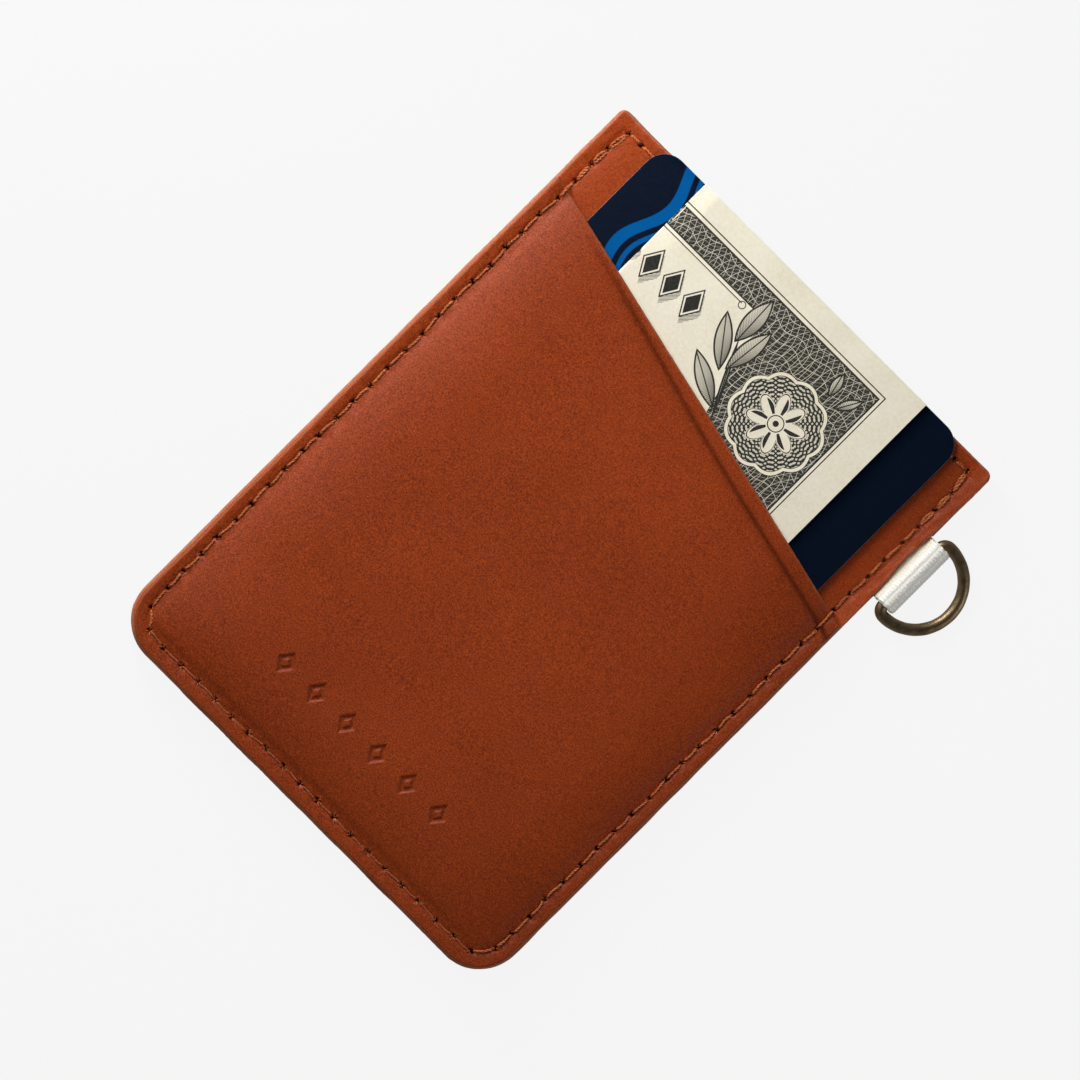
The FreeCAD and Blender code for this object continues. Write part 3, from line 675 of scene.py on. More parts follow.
def cloth_grid(rings, columns, rows, turns, row_line):
    """Points of one face of a leather panel, its quads, and the loop of points round its edge.

    The face is a main block of rows, a strip below it and a fan in each bottom corner. rings are
    distances from the corners' centres, columns the places across between them, rows run up from
    the corners, turns are angles, and row_line(row, x) is the height of a row.
    """
    across = np.concatenate([-CORNER_X - rings[::-1], columns[1:-1], CORNER_X + rings])
    main = np.stack(np.broadcast_arrays(across, row_line(rows[:, None], across)), axis=2)
    strip = np.stack(np.meshgrid(columns, CORNER_Y - rings), axis=2)
    out, down = rings[:, None] * np.cos(turns), rings[:, None] * np.sin(turns)
    left = np.stack([-CORNER_X - out, CORNER_Y - down], axis=2)
    right = np.stack([CORNER_X + out, CORNER_Y - down], axis=2)
    blocks = [main, strip, left, right]
    points = np.concatenate([block.reshape(-1, 2) for block in blocks])
    points, where = np.unique(np.round(points, 6), axis=0, return_inverse=True)
    where = where.ravel()
    faces, numbers, first = [], [], 0
    for block in blocks:
        count = block.shape[0] * block.shape[1]
        numbered = where[first:first + count].reshape(block.shape[:2])
        numbers.append(numbered)
        first += count
        a, b, c, d = numbered[:-1, :-1], numbered[:-1, 1:], numbered[1:, 1:], numbered[1:, :-1]
        p, q, r = points[a[-1, -1]], points[b[-1, -1]], points[d[-1, -1]]
        upward = (q - p)[0] * (r - p)[1] - (q - p)[1] * (r - p)[0] > 0
        quads = np.stack([a, b, c, d] if upward else [a, d, c, b], axis=2).reshape(-1, 4)
        faces += [tuple(dict.fromkeys(quad)) for quad in quads.tolist()]
    main, strip, left, right = numbers
    loop = [*main[::-1, 0], *left[-1, 1:], *strip[-1, 1:], *right[-1, -2::-1]]
    loop += [*main[1:, -1], *main[-1, -2:0:-1]]
    return points, faces, loop


EDGE_STEPS = (0.3, 0.05), (0.62, 0.055), (0.9, 0.02)  # (share of the way down, bulge) of a cut edge


def leather_panel(name, grids, reshape, face_z, under_z, weights, rawness, material, node):
    """A closed sheet of leather: a fine face, an uneven cut edge, and a coarser underside."""
    (flat, faces, loop), (under_flat, under_faces, under_loop) = grids
    top = np.column_stack([reshape(flat), face_z(flat)])
    under = np.column_stack([reshape(under_flat), under_z(under_flat)])
    rim = top[loop]
    outward = rightward(rim[:, :2], closed=True)
    drop = under_z(flat[loop]) - rim[:, 2]
    edges = []
    for share, bulge in EDGE_STEPS:
        uneven = ripple(rim[:, 0] + 9 * share, rim[:, 1], 1.1, 5) * 0.02
        edges.append(rim + np.column_stack([outward * (bulge + uneven)[:, None], drop * share]))
    count, size = len(loop), len(top)
    rings = [np.array(loop)] + [size + k * count + np.arange(count) for k in range(len(edges))]
    for upper, lower in zip(rings, rings[1:]):
        quads = np.stack([upper, lower, np.roll(lower, -1), np.roll(upper, -1)], axis=1)
        faces = faces + [tuple(quad) for quad in quads.tolist()]
    under_first = size + len(edges) * count
    low_ring, under_ring = rings[-1].tolist(), [under_first + k for k in under_loop]
    for k, here in enumerate(under_ring):
        after = under_ring[(k + 1) % len(under_ring)]
        fine = [low_ring[(k * UNDER_STEPS + j) % count] for j in range(UNDER_STEPS + 1)]
        faces.append((here, after, *fine[::-1]))
    faces += turned([tuple(under_first + k for k in face) for face in under_faces])
    labels = weights(flat)
    edge = [labels["edge"], np.full(len(edges) * count, rawness), np.full(len(under), 0.5)]
    pit = [labels["pit"], np.zeros(len(edges) * count + len(under))]
    return new_piece(
        name, np.concatenate([top, *edges, under]), faces, material, body="wallet",
        nodes=[node], weights={"edge": np.concatenate(edge), "pit": np.concatenate(pit)},
    )


HOLE_SIZE, HOLE_DEPTH = (0.2, 0.29), (0.55, 0.85)  # smallest and largest
HOLE_REACH = 1.6  # how far round a needle hole the leather is marked


def hole_fields(x, y, holes, seed):
    """(depth of the pits, how much painted shade darkens them, height of the torn rims) round the needle
    holes.
    """
    local = np.random.default_rng(seed)
    depth, dark, torn = np.zeros((3, len(x)))
    for hole_x, hole_y in holes:
        size, deep = local.uniform(*HOLE_SIZE), local.uniform(*HOLE_DEPTH)
        side_run = abs(hole_x) > SEAM_HALF - 1.5 and hole_y > SEAM_LOW + SEAM_CORNER
        lean = (math.pi / 2 if side_run else 0) + local.normal(0, 0.45)
        stretch, phase = local.uniform(1.1, 1.6), local.uniform(0, 2 * math.pi)
        near = np.flatnonzero((np.abs(x - hole_x) < HOLE_REACH) & (np.abs(y - hole_y) < HOLE_REACH))
        if not len(near):
            continue
        dx, dy = x[near] - hole_x, y[near] - hole_y
        along = dx * math.cos(lean) + dy * math.sin(lean)
        across = dy * math.cos(lean) - dx * math.sin(lean)
        away = np.hypot(along / stretch, across)
        ragged = away * (1 + 0.16 * np.sin(3 * np.arctan2(dy, dx) + phase))
        pit = np.exp(-((ragged / size) ** 4))
        depth[near] = np.maximum(depth[near], deep * pit + 0.11 * bump(np.hypot(dx, dy), 0.8))
        # painted shade inside each needle hole
        dark[near] = np.maximum(dark[near], np.exp(-((ragged / (size * 1.05)) ** 6)))
        rim = bump(away - size - 0.17, 0.14) * (0.5 + 0.5 * np.sin(2 * np.arctan2(dy, dx) + phase))
        torn[near] = np.maximum(torn[near], 0.1 * rim)
    return depth, dark, torn


OUTER_HOLES = outer_seam_holes()
TOP_HOLES = top_seam_holes(OUTER_HOLES)
ALL_HOLES = np.unique(np.round(np.concatenate([OUTER_HOLES, TOP_HOLES]), 3), axis=0)

THINNEST = 0.1  # leather left under a needle hole
GROOVE = 0.15  # how deep the thread pulls the leather in


def swell(distance, reach):
    """0 at the foot of the pocket, rising steeply and then levelling out to 1."""
    share = np.clip(distance / reach, 0, 1)
    foot = smooth(distance, 0, 1.2)
    return foot * (1 - (1 - share) ** 3)


def pocket_rise(x, y):
    """How far the pocket stands over its rim, draped over the card and the note."""
    full = POCKET_RISE * (0.84 + 0.16 * smooth(y, -28, -18))
    return full * swell(DOME_X + x, 13) * swell(DOME_X - x, 13) * swell(y - DOME_Y, 10)


LOZENGE_PITCH, LOZENGE_HALF, LOZENGE_Y, LOZENGE_DEPTH = 5.45, 1.7, -34.1, 0.3
LOZENGE_X = (np.arange(6) - 2.5) * LOZENGE_PITCH


def lozenges(x, y):
    """Depth of the pressed row of lozenges, each with a raised heart."""
    depth = np.zeros_like(x)
    for centre in LOZENGE_X:
        size = np.abs(x - centre) / (LOZENGE_HALF * 0.76) + np.abs(y - LOZENGE_Y) / LOZENGE_HALF
        frame_part = smooth(-size, -1.05, -0.84)
        heart = smooth(-size, -0.52, -0.32)
        depth = np.maximum(depth, LOZENGE_DEPTH * (frame_part - 0.85 * heart))
    return depth


def mouth_crease(x, y):
    """Depth of the line creased just below the mouth, closer to it and fainter on the left."""
    away = 0.9 + 1.2 * smooth(x, -24, 12)
    strength = smooth(x, -30, -12)
    below = below_mouth(x, y) - away
    return strength * (0.28 * bump(below, 0.26) + 0.12 * bump(below - 0.2, 0.8))


def edge_round(distance, radius):
    """How far a rounded edge has fallen at a distance inside it."""
    short = np.clip(radius - distance, 0, radius)
    return radius - np.sqrt(radius**2 - short**2)


def seam_dip(x, y):
    """Depth of the groove that the thread pulls into the leather along the outer seam."""
    away = inside_seam(x, y)
    return GROOVE * bump(away, 0.42) + 0.06 * bump(away, 1.1)


def pocket_face(flat):
    """Height of the pocket panel's face."""
    x, y = flat.T
    depth, _, torn = hole_fields(x, y, OUTER_HOLES, 3)
    inset = inside_leather(x, y)
    body = RIM_TOP_Z + pocket_rise(x, y) - seam_dip(x, y) - depth + torn
    body = body - lozenges(x, y) - mouth_crease(x, y)
    body = body + 0.014 * ripple(x, y, 7.0, 21) + 0.02 * ripple(x, y, 16.0, 22)
    body = body + 0.045 * ripple(x, y, 1.9, 23) * bump(inset - SIDE_INSET, 1.2)
    near_mouth = below_mouth(x, y)
    body = body - 0.1 * bump(near_mouth, 0.9) - edge_round(inset, 0.34) - edge_round(near_mouth, 0.3)
    return np.maximum(body, pocket_under(flat) + THINNEST)


def pocket_under(flat):
    """Height of the pocket panel's underside, thinned where it bridges the card and the note."""
    rise = pocket_rise(*flat.T)
    return RIM_Z + 0.01 + rise * 0.99 + 0.3 * smooth(rise, 0.1, 0.8)


def pocket_weights(flat):
    """Where the pocket panel's face gets painted shade, in its needle holes, along the crease and towards
    its right and bottom, and where raw.
    """
    x, y = flat.T
    _, dark, _ = hole_fields(x, y, OUTER_HOLES, 3)
    inset = np.minimum(inside_leather(x, y), below_mouth(x, y))
    # painted shade: darker towards the right and the bottom, where less light falls
    painted_shade = 0.07 * smooth(x, 8, 26) + 0.09 * smooth(-y, 28, 40)
    # painted shade in the needle holes and in the crease below the mouth
    pit = np.maximum(dark, 1.3 * mouth_crease(x, y) + painted_shade)
    return {"pit": pit, "edge": smooth(-inset, -0.3, 0.02) * 0.3}


def pocket_outline(flat):
    """The pocket panel stops a little short of the layers under it."""
    x, y = flat.T
    out = smooth(np.abs(x), HALF_WIDTH - 1.5, HALF_WIDTH)
    low = smooth(-y, -BOTTOM - 1.5, -BOTTOM)
    uneven = 0.05 * ripple(x, y, 9.0, 31)
    short = np.where(x < 0, 0.42 + 0.2 * smooth(-y, -20, 40), 0.3) + uneven
    low_short = 0.32 + uneven
    across, down = np.abs(x) - CORNER_X, CORNER_Y - y
    corner = (across > 0) & (down > 0)
    reach = np.hypot(across, down)
    round_share = smooth(np.arctan2(down, across), 0, math.pi / 2)
    pull = smooth(reach, CORNER - 1.5, CORNER) * (short + (low_short - short) * round_share)
    pull = pull / np.maximum(reach, 1e-6)
    new_x = x - np.sign(x) * np.where(corner, across * pull, short * out)
    new_y = y + np.where(corner, down * pull, low_short * low)
    return np.column_stack([new_x, new_y])


def ring_spacing(radius):
    """Spacing of the grid's rings: fine at the cut edge and across the seam."""
    inset = CORNER - radius
    return np.select([inset < 0.12, inset < 0.5, inset < 3.3], [0.04, 0.09, 0.14], 0.3)


def grid_pair(column_spacing, row_spacing, top, turn_step, row_line):
    """The fine grid of a panel's face and the coarse one of its underside."""
    steps = [
        places(0, CORNER, ring_spacing),
        places(-CORNER_X, CORNER_X, column_spacing),
        places(CORNER_Y, top, row_spacing),
        places(0, math.pi / 2, lambda turn: np.full_like(turn, turn_step)),
    ]
    return cloth_grid(*steps, row_line), cloth_grid(*[step[::UNDER_STEPS] for step in steps], row_line)


def hole_spacing(place, holes, near, far):
    """Spacing along a seam: near beside a hole, and far between holes."""
    away = np.min(np.abs(place[:, None] - holes[None, :]), axis=1)
    return np.where(away < 0.6, near, far)


def front_pocket_panel(material):
    """The leather of the front pocket, finely divided where it is sewn, pressed or cut."""
    bottom_holes = OUTER_HOLES[OUTER_HOLES[:, 1] < SEAM_LOW + 2 * HAND_WANDER, 0]

    def column_spacing(x):
        pressed = np.where(np.abs(x) < LOZENGE_X[-1] + LOZENGE_HALF, 0.15, 9.0)
        return np.minimum(hole_spacing(x, bottom_holes, 0.13, 0.3), pressed)

    def row_spacing(row):
        away = MOUTH_Y - row
        pressed = np.abs(row - LOZENGE_Y) < LOZENGE_HALF + 0.2
        return np.select([away < 0.1, away < 0.4, away < 3.2, pressed], [0.04, 0.08, 0.15, 0.12], 0.19)

    def row_line(row, x):
        return row - MOUTH_SLOPE * x * (row - CORNER_Y) / (MOUTH_Y - CORNER_Y)

    grids = grid_pair(column_spacing, row_spacing, MOUTH_Y, 0.042, row_line)
    return leather_panel(
        "front_pocket_leather", grids, pocket_outline, pocket_face, pocket_under,
        pocket_weights, 0.4, material, "front_pocket_panel",
    )


def tail_recess(x, y):
    """Depth of the hollow that the strap's sewn tails press into the leather."""
    (low_x, low_y, low_z), (_, high_y, high_z) = tail_low, tail_high
    beside = smooth(y, low_y - 0.4, low_y) * smooth(-y, -high_y - 0.4, -high_y)
    return (high_z - low_z + 0.02) * smooth(x, low_x - 0.5, low_x) * beside


def full_inset(flat):
    """Distance inside the whole outline of a full-height panel."""
    x, y = flat.T
    return np.minimum(inside_leather(x, y), TOP - y)


def sag(x):
    """How far the stitches pull the centre panel down on either side of the card."""
    return 0.4 * bump(x - SEAM_HALF, 1.9) + 0.12 * bump(x + SEAM_HALF, 1.9)


def edge_radius(x):
    """The left edge is burnished rounder than the others."""
    return 0.3 + 0.3 * smooth(-x, 20, 30)


def centre_face(flat):
    """Height of the centre panel's face, which shows above the mouth."""
    x, y = flat.T
    depth, _, torn = hole_fields(x, y, ALL_HOLES, 4)
    shown = smooth(-below_mouth(x, y), -0.2, 0.6)
    outer = np.where(y < TOP_SEAM_Y, bump(inside_seam(x, y), 0.5), 0)
    upper = np.where(np.abs(x) < TOP_SEAM_HALF + 0.3, bump(y - TOP_SEAM_Y, 0.42), 0)
    groove = GROOVE * np.maximum(outer, upper)
    uneven = 0.03 * ripple(x, y, 1.7, 41) * smooth(-full_inset(flat), -4.0, -2.0)
    uneven = uneven + 0.03 * ripple(x, y, 9.0, 42)
    falls = edge_round(full_inset(flat), edge_radius(x))
    body = RIM_Z + shown * (torn - depth - groove + uneven - sag(x)) - falls
    return np.maximum(body, centre_under(flat) + THINNEST)


def centre_under(flat):
    return centre_low[2] + 0.005 + tail_recess(*flat.T)


def centre_weights(flat):
    """Where the centre panel's face gets painted shade, in its needle holes and at its upper right beside
    the card, and where raw.
    """
    x, y = flat.T
    _, dark, _ = hole_fields(x, y, ALL_HOLES, 4)
    # painted shade: darker at the upper right, beside the card, where its shadow falls
    painted_shade = 0.16 * smooth(x, 10, 28) * smooth(y, 26, 40)
    # the raw band is painted wider along the rounder left edge, partly as a painted highlight of that lit
    # edge
    edge = smooth(-full_inset(flat), -edge_radius(x), 0.02) * 0.8
    return {"pit": np.maximum(dark, painted_shade), "edge": edge}


def full_outline(flat):
    """Rounds the two top corners and makes the cut edge a little uneven."""
    x, y = flat.T
    across = np.clip((np.abs(x) - (HALF_WIDTH - TOP_CORNER)) / TOP_CORNER, 0, 1)
    up = np.clip((y - (TOP - TOP_CORNER)) / TOP_CORNER, 0, 1)
    corner = (across > 0) & (up > 0)
    round_x = HALF_WIDTH - TOP_CORNER + TOP_CORNER * across * np.sqrt(1 - up**2 / 2)
    round_y = TOP - TOP_CORNER + TOP_CORNER * up * np.sqrt(1 - across**2 / 2)
    new_x = np.where(corner, np.sign(x) * round_x, x)
    new_y = np.where(corner, round_y, y)
    near_edge = smooth(-full_inset(flat), -1.0, 0)
    uneven = near_edge * (0.05 * ripple(x, y, 8.0, 51) - 0.05)
    waist = near_edge * (x > 0) * 0.4 * bump(y - BAR[1] - 1.5, 4.6)
    return np.column_stack([new_x + np.sign(x) * uneven - waist, new_y + np.sign(y) * uneven])


def centre_panel(material):
    """The leather behind the pocket, finely divided only above the mouth."""
    top_holes = np.unique(TOP_HOLES[:, 0])

    def column_spacing(x):
        return hole_spacing(x, top_holes, 0.16, 0.34)

    def row_spacing(y):
        hidden = y < MOUTH_Y - MOUTH_SLOPE * HALF_WIDTH - 1.5
        return np.select([hidden, TOP - y < 0.5], [1.2, 0.08], 0.19)

    grids = grid_pair(column_spacing, row_spacing, TOP, 0.06, lambda row, x: row + 0 * x)
    return leather_panel(
        "centre_leather", grids, full_outline, centre_face, centre_under,
        centre_weights, 1.0, material, "centre_panel",
    )


# Thread


def seam_level(x, y):
    """Height of the leather under a stitch: the pocket's rim, or a layer lower above the mouth."""
    below = smooth(below_mouth(x, y), -0.75, 0.05)
    over_tail = centre_low[2] + tail_recess(x, y) + THINNEST
    bare = np.maximum(RIM_Z - GROOVE - sag(x), over_tail)
    return bare * (1 - below) + (RIM_TOP_Z - GROOVE) * below


LEG_OFFSET = 0.2  # centre of a thread's leg from the centre of its hole
LEG_REACH, LEG_DEPTH = 0.24, 0.7  # how far along a stitch a leg turns down, and how deep
PLY_TURNS, PLY_SIDES, FIBRE_SIDES = 2.6, 7, 5
# (rise of a stitch's middle, radius of its plies) by where it lies
ON_LOW_EDGE, ABOVE_MOUTH, ON_POCKET = (-0.11, 0.072), (0.07, 0.104), (0.03, 0.09)


def strand(start, end, sideways, lift, ply, seed):
    """Two plies twisted into one stitch, which dives into a hole at each end."""
    local = np.random.default_rng(seed)
    share = np.linspace(0, 1, 30)
    ahead = (end - start) / np.linalg.norm(end - start)
    length = np.linalg.norm(end - start) - 2 * LEG_OFFSET
    side = np.array([-ahead[1], ahead[0]])
    bow = sideways * np.sin(math.pi * share)
    bow += 0.05 * np.sin(2 * math.pi * share + local.uniform(0, 6))
    flat = start + ahead * (LEG_OFFSET + length * share)[:, None] + side * bow[:, None]
    level = seam_level(*flat.T) + 0.06 + lift * np.sin(math.pi * share)
    legs = bump(share * length, LEG_REACH) + bump((1 - share) * length, LEG_REACH)
    middle = np.column_stack([flat, level - LEG_DEPTH * legs])
    phase = local.uniform(0, 2 * math.pi)
    parts = []
    for half in (0, math.pi):
        turn = (phase + half + 2 * math.pi * PLY_TURNS * share)[:, None]
        offset = 0.9 * ply * (np.cos(turn) * [*side, 0] + np.sin(turn) * [0, 0, 1.0])
        parts.append(tube(middle + offset, ply * (1 + 0.08 * np.sin(5 * share + phase)), PLY_SIDES))
    return parts


def fluff(hole, fibres, longest, seed):
    """A few frayed fibres that stand out of a needle hole."""
    local = np.random.default_rng(seed)
    parts = []
    for _ in range(fibres):
        turn, reach = local.uniform(0, 2 * math.pi), local.uniform(0.5, 1.0) * longest
        share = np.linspace(0, 1, 7)
        away = np.array([math.cos(turn), math.sin(turn)])
        bend = local.uniform(-0.2, 0.2) * share**2
        flat = hole + np.outer(0.15 + reach * share, away) + np.outer(bend, [-away[1], away[0]])
        height = seam_level(*flat.T) + 0.1 - 0.35 * (1 - share) ** 2
        height += local.uniform(0, 0.1) * share
        parts.append(tube(np.column_stack([flat, height]), 0.055 * (1.15 - share), FIBRE_SIDES))
    return parts


def seam_thread(name, holes, node, material, loose, seed):
    """All the stitches of a seam on the front of the wallet."""
    local = np.random.default_rng(seed)
    parts, sunk = [], []
    shared_low = OUTER_SEAM_TOP - (SHARED_HOLES - 1) * STITCH - 0.3
    for k, (start, end) in enumerate(zip(holes, holes[1:])):
        low_edge = max(start[1], end[1]) < SEAM_LOW + 0.3
        doubled = abs(start[0] - end[0]) < 1 and min(start[1], end[1]) > shared_low
        sideways = local.normal(-0.17, 0.05) if doubled else local.normal(0, loose)
        bare = below_mouth(*((start + end) / 2)) < 0
        lift, ply = ON_LOW_EDGE if low_edge else ABOVE_MOUTH if bare else ON_POCKET
        stitch = strand(start, end, sideways, lift, ply, seed * 1000 + k)
        parts += stitch
        stain = 0.85 if low_edge else local.uniform(0, 0.4)
        sunk += [stain] * sum(len(points) for points, _ in stitch)
    for k, hole in enumerate(holes):
        low_edge = hole[1] < SEAM_LOW + 0.6
        fibres, longest = (local.integers(4, 7), 0.75) if low_edge else (local.integers(1, 4), 0.5)
        parts += fluff(hole, fibres, longest, seed * 2000 + k)
    points, faces = joined(parts)
    sunk += [0.0] * (len(points) - len(sunk))
    return new_piece(
        name, points, faces, material, body="wallet", nodes=[node],
        weights={"sunk": sunk},
    )


# Strap and ring


def strap_line():
    """The strap's middle line from one tail's inner end, round the bar, to the other's, as x and z."""
    wrap = WIRE + 0.05 + FREE_STRAP / 2
    tail_z = (tail_high[2] - tail_low[2]) / 2
    lip = np.array([tail_high[0] - BAR[0] + 0.3, tail_z + 0.04])
    reach = math.hypot(*lip)
    tangent = math.atan2(lip[1], lip[0]) - math.acos(wrap / reach)
    arc = [(wrap * math.cos(a), wrap * math.sin(a)) for a in np.linspace(tangent, 0, 40)]
    half = [(tail_low[0] - BAR[0], tail_z), (lip[0] - 0.6, tail_z), tuple(lip), *arc]
    line = along_path(half + [(x, -z) for x, z in reversed(half[:-1])], STRAP_STEP)
    for _ in range(5):
        line[1:-1] = (line[:-2] + 2 * line[1:-1] + line[2:]) / 4
    return line + BAR[[0, 2]]


RIB, YARN = 0.86, 0.45  # pitch of the ribs along the strap, and of the yarns across it
SEWN_STRAP = 0.5  # its thickness where it is sewn down


def webbing_strap(material):
    """One length of ribbed ribbon, folded round the ring's bar and sewn between the layers."""
    line = strap_line()
    steps = travelled(line)
    low, high = loop_low[1] + 0.04, loop_high[1] + 0.25
    across = places(low, high, lambda y: np.where(np.minimum(y - low, high - y) < 0.2, 0.05, 0.1), 1)
    along, side = np.meshgrid(steps, across, indexing="ij")
    margin = np.minimum(side - low, high - side)
    free = smooth(line[:, :1], tail_high[0] - 0.1, tail_high[0] + 1.0)
    ribs = np.abs(np.sin(math.pi * along / RIB))
    yarns = np.abs(np.sin(math.pi * (side / YARN + 0.5 * np.floor(along / RIB))))
    weave = (0.1 * (ribs**0.7 - 1) + 0.1 * ribs * (yarns**0.8 - 0.6)) * free
    edge_wave = 0.05 * np.sin(2 * math.pi * along / RIB) * smooth(-margin, -0.3, 0)
    side = side + np.where(side > (low + high) / 2, edge_wave, -edge_wave)
    half_thick = (SEWN_STRAP + (FREE_STRAP - SEWN_STRAP) * free) / 2 * (1 - 0.75 * bump(margin, 0.13))
    points, faces = two_sided(line, side, (half_thick + weave, -half_thick - 0.35 * weave))
    # painted shade in the weave's hollows, fainter on the strap's other side
    hollow = np.clip(-weave / 0.16, 0, 1).ravel()
    strap = new_piece(
        "webbing_strap", points, faces, material,
        nodes=["webbing_loop", "webbing_tail_front", "webbing_tail_back"],
        weights={"pit": np.concatenate([hollow, hollow * 0.4])},
    )
    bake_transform(strap)
    return strap


def d_ring(material):
    """Round wire bent to a D, with its bar inside the strap."""
    straight = RING_RADIUS - RING_BEND
    bend = np.linspace(0, math.pi / 2, 14)
    round_side = np.linspace(-math.pi / 2, math.pi / 2, 120)
    path = [(0.0, y) for y in np.linspace(-straight, straight, 30)]
    path += [(RING_BEND * (1 - math.cos(a)), straight + RING_BEND * math.sin(a)) for a in bend[1:]]
    path += [(RING_BEND + RING_RADIUS * math.cos(a), -RING_RADIUS * math.sin(a)) for a in round_side[1:]]
    path += [(RING_BEND * (1 - math.cos(a)), -straight - RING_BEND * math.sin(a)) for a in bend[::-1][1:-1]]
    path = along_path([*path, path[0]], RING_STEP)[:-1]
    outward = rightward(path, closed=True)
    k = np.arange(len(path))[:, None]
    size = WIRE * (1 + 0.012 * np.sin(k * 0.21) + 0.008 * np.sin(k * 0.57 + 1))
    turn = 2 * math.pi * np.arange(RING_SIDES) / RING_SIDES
    out, lift = np.cos(turn) * size, np.sin(turn) * size
    x = path[:, :1] + outward[:, :1] * out
    y = path[:, 1:] + outward[:, 1:] * out
    level, fall = math.cos(RING_DROOP), math.sin(RING_DROOP)
    points = np.stack([x * level + lift * fall, y, lift * level - x * fall], axis=2)
    # painted highlight along the wire's outer and inner sides
    flank_highlight = np.tile(np.abs(np.cos(turn)) ** 3, len(path))
    faces = turned(grid_faces(len(path), RING_SIDES, closed_rows=True, closed_columns=True))
    return new_piece(
        "d_ring_wire", points.reshape(-1, 3) + BAR, faces, material, body="ring",
        nodes=["d_ring"], weights={"flank_highlight": flank_highlight},
    )


# Card


def rounded_outline(low, high, radius, steps):
    """Corners of a rounded rectangle, anticlockwise."""
    corners = [
        (high[0] - radius, high[1] - radius, 0),
        (low[0] + radius, high[1] - radius, 1),
        (low[0] + radius, low[1] + radius, 2),
        (high[0] - radius, low[1] + radius, 3),
    ]
    outline = []
    for x, y, quarter in corners:
        for turn in np.linspace(quarter, quarter + 1, steps + 1) * math.pi / 2:
            outline.append((x + radius * math.cos(turn), y + radius * math.sin(turn)))
    return np.array(outline)


def bevelled(low, high, radius, bottom, top, bevel, steps=10):
    """A rounded plate with a small round along both edges."""
    outline = rounded_outline(low, high, radius, steps)
    outward = rightward(outline, closed=True)
    rings = []
    for first, level in ((-1, bottom + bevel), (0, top - bevel)):
        for turn in np.linspace(first, first + 1, 4) * math.pi / 2:
            flat = outline - bevel * (1 - math.cos(turn)) * outward
            rings.append(np.column_stack([flat, np.full(len(flat), level + bevel * math.sin(turn))]))
    return stacked(rings)


CARD_CORNER = 3.18
CARD_BEVEL = 0.09
CHIP_PROUD = 0.012  # how far the contacts stand over the card's face
PAD_GAP, PAD_CORNER, PAD_BEVEL = 0.22, 0.45, 0.02
PAD_THICK, BASE_THINNER = 0.05, 0.035  # a pad, and how far the base stays below the pads' faces


def payment_card(material):
    """The plastic card, with a small round along its edges that shows its pale core."""
    points, faces = bevelled(
        card_low[:2], card_high[:2], CARD_CORNER, card_low[2], card_high[2] - 0.005, CARD_BEVEL, 14
    )
    inside_z = (points[:, 2] > card_low[2] + 0.03) & (points[:, 2] < card_high[2] - 0.03)
    return new_piece(
        "payment_card", points, faces, material, body="card", nodes=["card_body"],
        weights={"edge": inside_z.astype(float)},
    )


def chip_contacts(material):
    """Eight outer contact pads and a middle one, with narrow gaps, barely proud of the card."""
    low, high = chip_low[:2], chip_high[:2]
    face = card_high[2] + CHIP_PROUD
    across = (high[0] - low[0] - 2 * PAD_GAP) / 3
    along = (high[1] - low[1] - 3 * PAD_GAP) / 4
    pads = []
    for column in (0, 2):
        for row in range(4):
            corner = low + [column * (across + PAD_GAP), row * (along + PAD_GAP)]
            pads.append((corner, corner + [across, along]))
    middle = low + [across + PAD_GAP, 0]
    pads.append((middle, middle + [across, high[1] - low[1]]))
    parts = [bevelled(a, b, PAD_CORNER, face - PAD_THICK, face, PAD_BEVEL, 5) for a, b in pads]
    parts.append(bevelled(low + 0.1, high - 0.1, 2.0, chip_low[2], face - BASE_THINNER, 0.01))
    points, faces = joined(parts)
    return new_piece(
        "card_chip_contacts", points, faces, material, body="card",
        nodes=["card_chip_module"],
    )


# Banknote


PAPER = 0.11
LAYER_STEP = 0.14  # one folded layer to the next


def note_line():
    """Middle line of the folded note across its width, as x, z and the layer's number."""
    left, right = note_low[0] + PAPER / 2, note_high[0]
    level = note_low[2] + PAPER / 2 + LAYER_STEP * np.arange(4)
    inner, tight, hidden = left + LAYER_STEP, LAYER_STEP / 2, right - 0.2
    turn = np.linspace(-math.pi / 2, math.pi / 2, 9)

    def run(start, end, layer, count=40):
        return np.column_stack([np.linspace(start, end, count), np.full((count, 2), (level[layer], layer))])

    def fold(x, reach, first, last, layer):
        """Half a turn from one layer's height to another's, which reaches out from x."""
        z = (level[first] + level[last]) / 2 + (level[last] - level[first]) / 2 * np.sin(turn)
        return np.column_stack([x + reach * np.cos(turn), z, np.broadcast_to(layer, turn.shape)])

    return np.concatenate([
        run(hidden, inner + 0.4, 2),
        fold(inner + tight, -tight, 2, 1, 1.5),
        run(inner + 0.4, hidden - tight, 1),
        fold(hidden - tight, tight, 1, 0, 0.5),
        run(hidden - tight - 0.3, left + 0.5, 0),
        fold(left + 0.2, -0.2, 0, 3, np.linspace(0, 3, len(turn))),
        run(left + 0.5, right, 3, 110),
    ])


